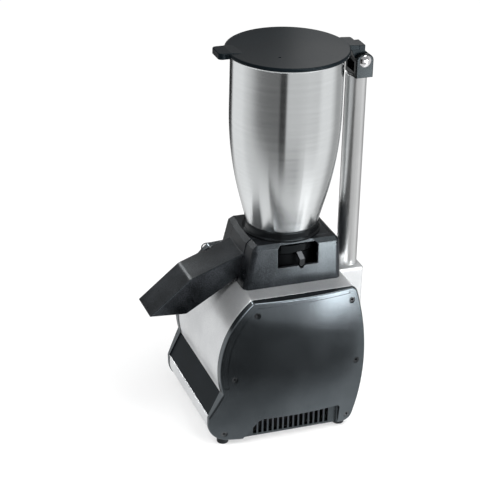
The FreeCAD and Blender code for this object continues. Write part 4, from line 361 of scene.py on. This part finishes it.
# ------------------------------------------------------------------ studio
def panel_share(nodes, panel, azimuth, elevation):
    """How far a direction lies inside a panel, from 0 outside its margins to 1."""
    middle = (panel.left + panel.right) / 2
    turned = nodes.math("WRAP", nodes.math("SUBTRACT", azimuth, middle), 180.0, -180.0)
    below = nodes.math("MAXIMUM", nodes.math("SUBTRACT", SLANT_START, elevation), 0.0)
    leaned = nodes.math("SUBTRACT", turned, nodes.math("MULTIPLY", below, panel.slant))
    left = panel.left - middle
    right = panel.right - middle
    edges = [
        nodes.remap(leaned, left - panel.left_soft, left, 0.0, 1.0),
        nodes.remap(turned, right, right + panel.right_soft, 1.0, 0.0),
        nodes.remap(elevation, panel.low - panel.low_soft, panel.low, 0.0, 1.0),
        nodes.remap(elevation, panel.top, panel.top + panel.top_soft, 1.0, 0.0),
    ]
    share = edges[0]
    for edge in edges[1:]:
        share = nodes.math("MULTIPLY", share, edge)
    return share


def background(nodes, strength):
    """A plain white world shader of a given strength."""
    shader = nodes.add("ShaderNodeBackground")
    nodes.feed(shader.inputs["Strength"], strength)
    return shader.outputs[0]


def make_world():
    """White to the camera, a tent with panels and flags to glossy rays, an even room to the rest."""
    world = bpy.data.worlds.new("studio")
    world.use_nodes = True
    bpy.context.scene.world = world
    # Sampled as a light, the world would show glossy surfaces the even room instead of the tent.
    world.cycles.sampling_method = "NONE"
    tree = world.node_tree
    tree.nodes.clear()
    nodes = Nodes(tree)
    direction = nodes.add("ShaderNodeSeparateXYZ")
    nodes.feed(direction.inputs[0], nodes.add("ShaderNodeTexCoord").outputs["Generated"])
    to_degrees = 180.0 / math.pi
    around = nodes.math("ARCTAN2", direction.outputs["Y"], direction.outputs["X"])
    azimuth = nodes.math("MULTIPLY", around, to_degrees)
    elevation = nodes.math("MULTIPLY", nodes.math("ARCSINE", direction.outputs["Z"]), to_degrees)
    side = nodes.remap(elevation, *SWEEP_EDGE, SWEEP_LEVEL, TENT_LEVEL)
    level = nodes.math("MULTIPLY", side, nodes.remap(elevation, *ROOF_EDGE, 1.0, ROOF_LEVEL / TENT_LEVEL))
    for panel in PANELS.values():
        share = panel_share(nodes, panel, azimuth, elevation)
        level = nodes.math("ADD", level, nodes.math("MULTIPLY", share, panel.strength))
    tent = background(nodes, nodes.math("MAXIMUM", level, DARKEST))
    path = nodes.add("ShaderNodeLightPath")
    lit = nodes.mix(path.outputs["Is Glossy Ray"], background(nodes, ROOM_LEVEL), tent)
    seen = nodes.mix(path.outputs["Is Camera Ray"], lit, background(nodes, WHITE))
    output = nodes.add("ShaderNodeOutputWorld")
    nodes.feed(output.inputs["Surface"], seen)


def make_sheet(name, material_name, corners):
    """A four-cornered sheet and the empty node tree of its material."""
    mesh = bpy.data.meshes.new(name)
    mesh.from_pydata(corners, [], [(0, 1, 2, 3)])
    sheet = bpy.data.objects.new(name, mesh)
    bpy.context.collection.objects.link(sheet)
    material = bpy.data.materials.new(material_name)
    material.use_nodes = True
    material.node_tree.nodes.clear()
    mesh.materials.append(material)
    return sheet, Nodes(material.node_tree)


def matt(nodes, albedo):
    """A grey diffuse shader."""
    shader = nodes.add("ShaderNodeBsdfDiffuse")
    nodes.feed(shader.inputs["Color"], (albedo, albedo, albedo, 1.0))
    return shader.outputs[0]


def show(nodes, shader):
    """Sends a shader to the material's output."""
    output = nodes.add("ShaderNodeOutputMaterial")
    nodes.feed(output.inputs["Surface"], shader)


def make_floor():
    """A white floor that keeps the object's soft shadow."""
    half = FLOOR_SIZE / 2
    floor, nodes = make_sheet("floor", "floor_paper",
                              [(-half, -half, 0), (half, -half, 0), (half, half, 0), (-half, half, 0)])
    glow = nodes.add("ShaderNodeEmission")
    nodes.feed(glow.inputs["Strength"], FLOOR_GLOW)
    distance = nodes.add("ShaderNodeVectorMath", operation="LENGTH")
    nodes.feed(distance.inputs[0], nodes.place())
    share = nodes.remap(distance.outputs["Value"], GLOW_NEAR, GLOW_FAR, GLOW_SHARE_NEAR, GLOW_SHARE_FAR)
    path = nodes.add("ShaderNodeLightPath")
    amount = nodes.math("MULTIPLY", path.outputs["Is Camera Ray"], share)
    show(nodes, nodes.mix(amount, matt(nodes, FLOOR_ALBEDO), glow.outputs[0]))
    floor.visible_glossy = False


def make_flag_card():
    """The dark card beside the machine."""
    card, nodes = make_sheet("flag_card", "flag_cloth",
                             [(CARD_X, CARD_FRONT, CARD_FOOT), (CARD_X, CARD_BACK, CARD_FOOT),
                              (CARD_X, CARD_BACK, CARD_BACK_TOP), (CARD_X, CARD_FRONT, CARD_FRONT_TOP)])
    place = nodes.add("ShaderNodeSeparateXYZ")
    nodes.feed(place.inputs[0], nodes.place())
    density = nodes.remap(place.outputs["Z"], CARD_FOOT, CARD_DENSE, 0.0, CARD_DENSITY)
    clear = nodes.add("ShaderNodeBsdfTransparent")
    show(nodes, nodes.mix(density, clear.outputs[0], matt(nodes, CARD_ALBEDO)))
    card.visible_camera = False
    card.visible_diffuse = False
    card.visible_shadow = False
    card.visible_transmission = False


def make_softbox(name, box):
    """A soft rectangular lamp, unseen by the camera."""
    data = bpy.data.lights.new(name, "AREA")
    data.shape = "RECTANGLE"
    data.size = box.width
    data.size_y = box.height
    data.energy = box.brightness * math.pi * box.width * box.height
    lamp = bpy.data.objects.new(name, data)
    bpy.context.collection.objects.link(lamp)
    azimuth = math.radians(box.azimuth)
    elevation = math.radians(box.elevation)
    away = Vector((math.cos(azimuth) * math.cos(elevation), math.sin(azimuth) * math.cos(elevation),
                   math.sin(elevation)))
    lamp.location = Vector((0.0, 0.0, AIM_Z)) + away * box.distance
    lamp.rotation_mode = "QUATERNION"
    lamp.rotation_quaternion = away.to_track_quat("Z", "Y")
    lamp.visible_camera = False
    return lamp


def link_lamp(lamp, names, state):
    """Keeps a lamp off some nodes (EXCLUDE), or keeps it to them (INCLUDE)."""
    group = bpy.data.collections.new(lamp.name + "_nodes")
    for name in names:
        group.objects.link(frame["nodes"][name])
    for item in group.collection_objects:
        item.light_linking.link_state = state
    lamp.light_linking.receiver_collection = group


def make_softboxes():
    """Every softbox, with the nodes that it lights."""
    for name, box in SOFTBOXES.items():
        lamp = make_softbox(name, box)
        if name in LIT_ALONE:
            link_lamp(lamp, LIT_ALONE[name], "INCLUDE")
        else:
            link_lamp(lamp, SPARED + ALSO_SPARED.get(name, ()), "EXCLUDE")


def make_camera():
    """A long lens that looks down at the machine from its front right."""
    azimuth = math.radians(CAMERA_AZIMUTH)
    elevation = math.radians(CAMERA_ELEVATION)
    roll = math.radians(CAMERA_ROLL)
    back = Vector((math.sin(azimuth) * math.cos(elevation), -math.cos(azimuth) * math.cos(elevation),
                   math.sin(elevation)))
    right = Vector((math.cos(azimuth), math.sin(azimuth), 0.0))
    up = back.cross(right)
    turned_right = right * math.cos(roll) + up * math.sin(roll)
    turned_up = up * math.cos(roll) - right * math.sin(roll)
    target = Vector(CAMERA_TARGET) + Vector((0.0, HOPPER_Y, 0.0))
    data = bpy.data.cameras.new("camera")
    data.lens = CAMERA_LENS
    data.sensor_width = SENSOR_WIDTH
    data.clip_start = CLIP_START
    data.clip_end = CLIP_END
    camera = bpy.data.objects.new("camera", data)
    bpy.context.collection.objects.link(camera)
    rotation = Matrix((turned_right, turned_up, back)).transposed().to_4x4()
    place = (target + back * CAMERA_DISTANCE) * MM
    camera.matrix_world = Matrix.Translation(place) @ rotation
    bpy.context.scene.camera = camera


# ------------------------------------------------------------------ assembly
bpy.context.scene.view_settings.view_transform = "Standard"
dress_nodes(make_materials())
make_world()
make_floor()
make_flag_card()
make_softboxes()
make_camera()
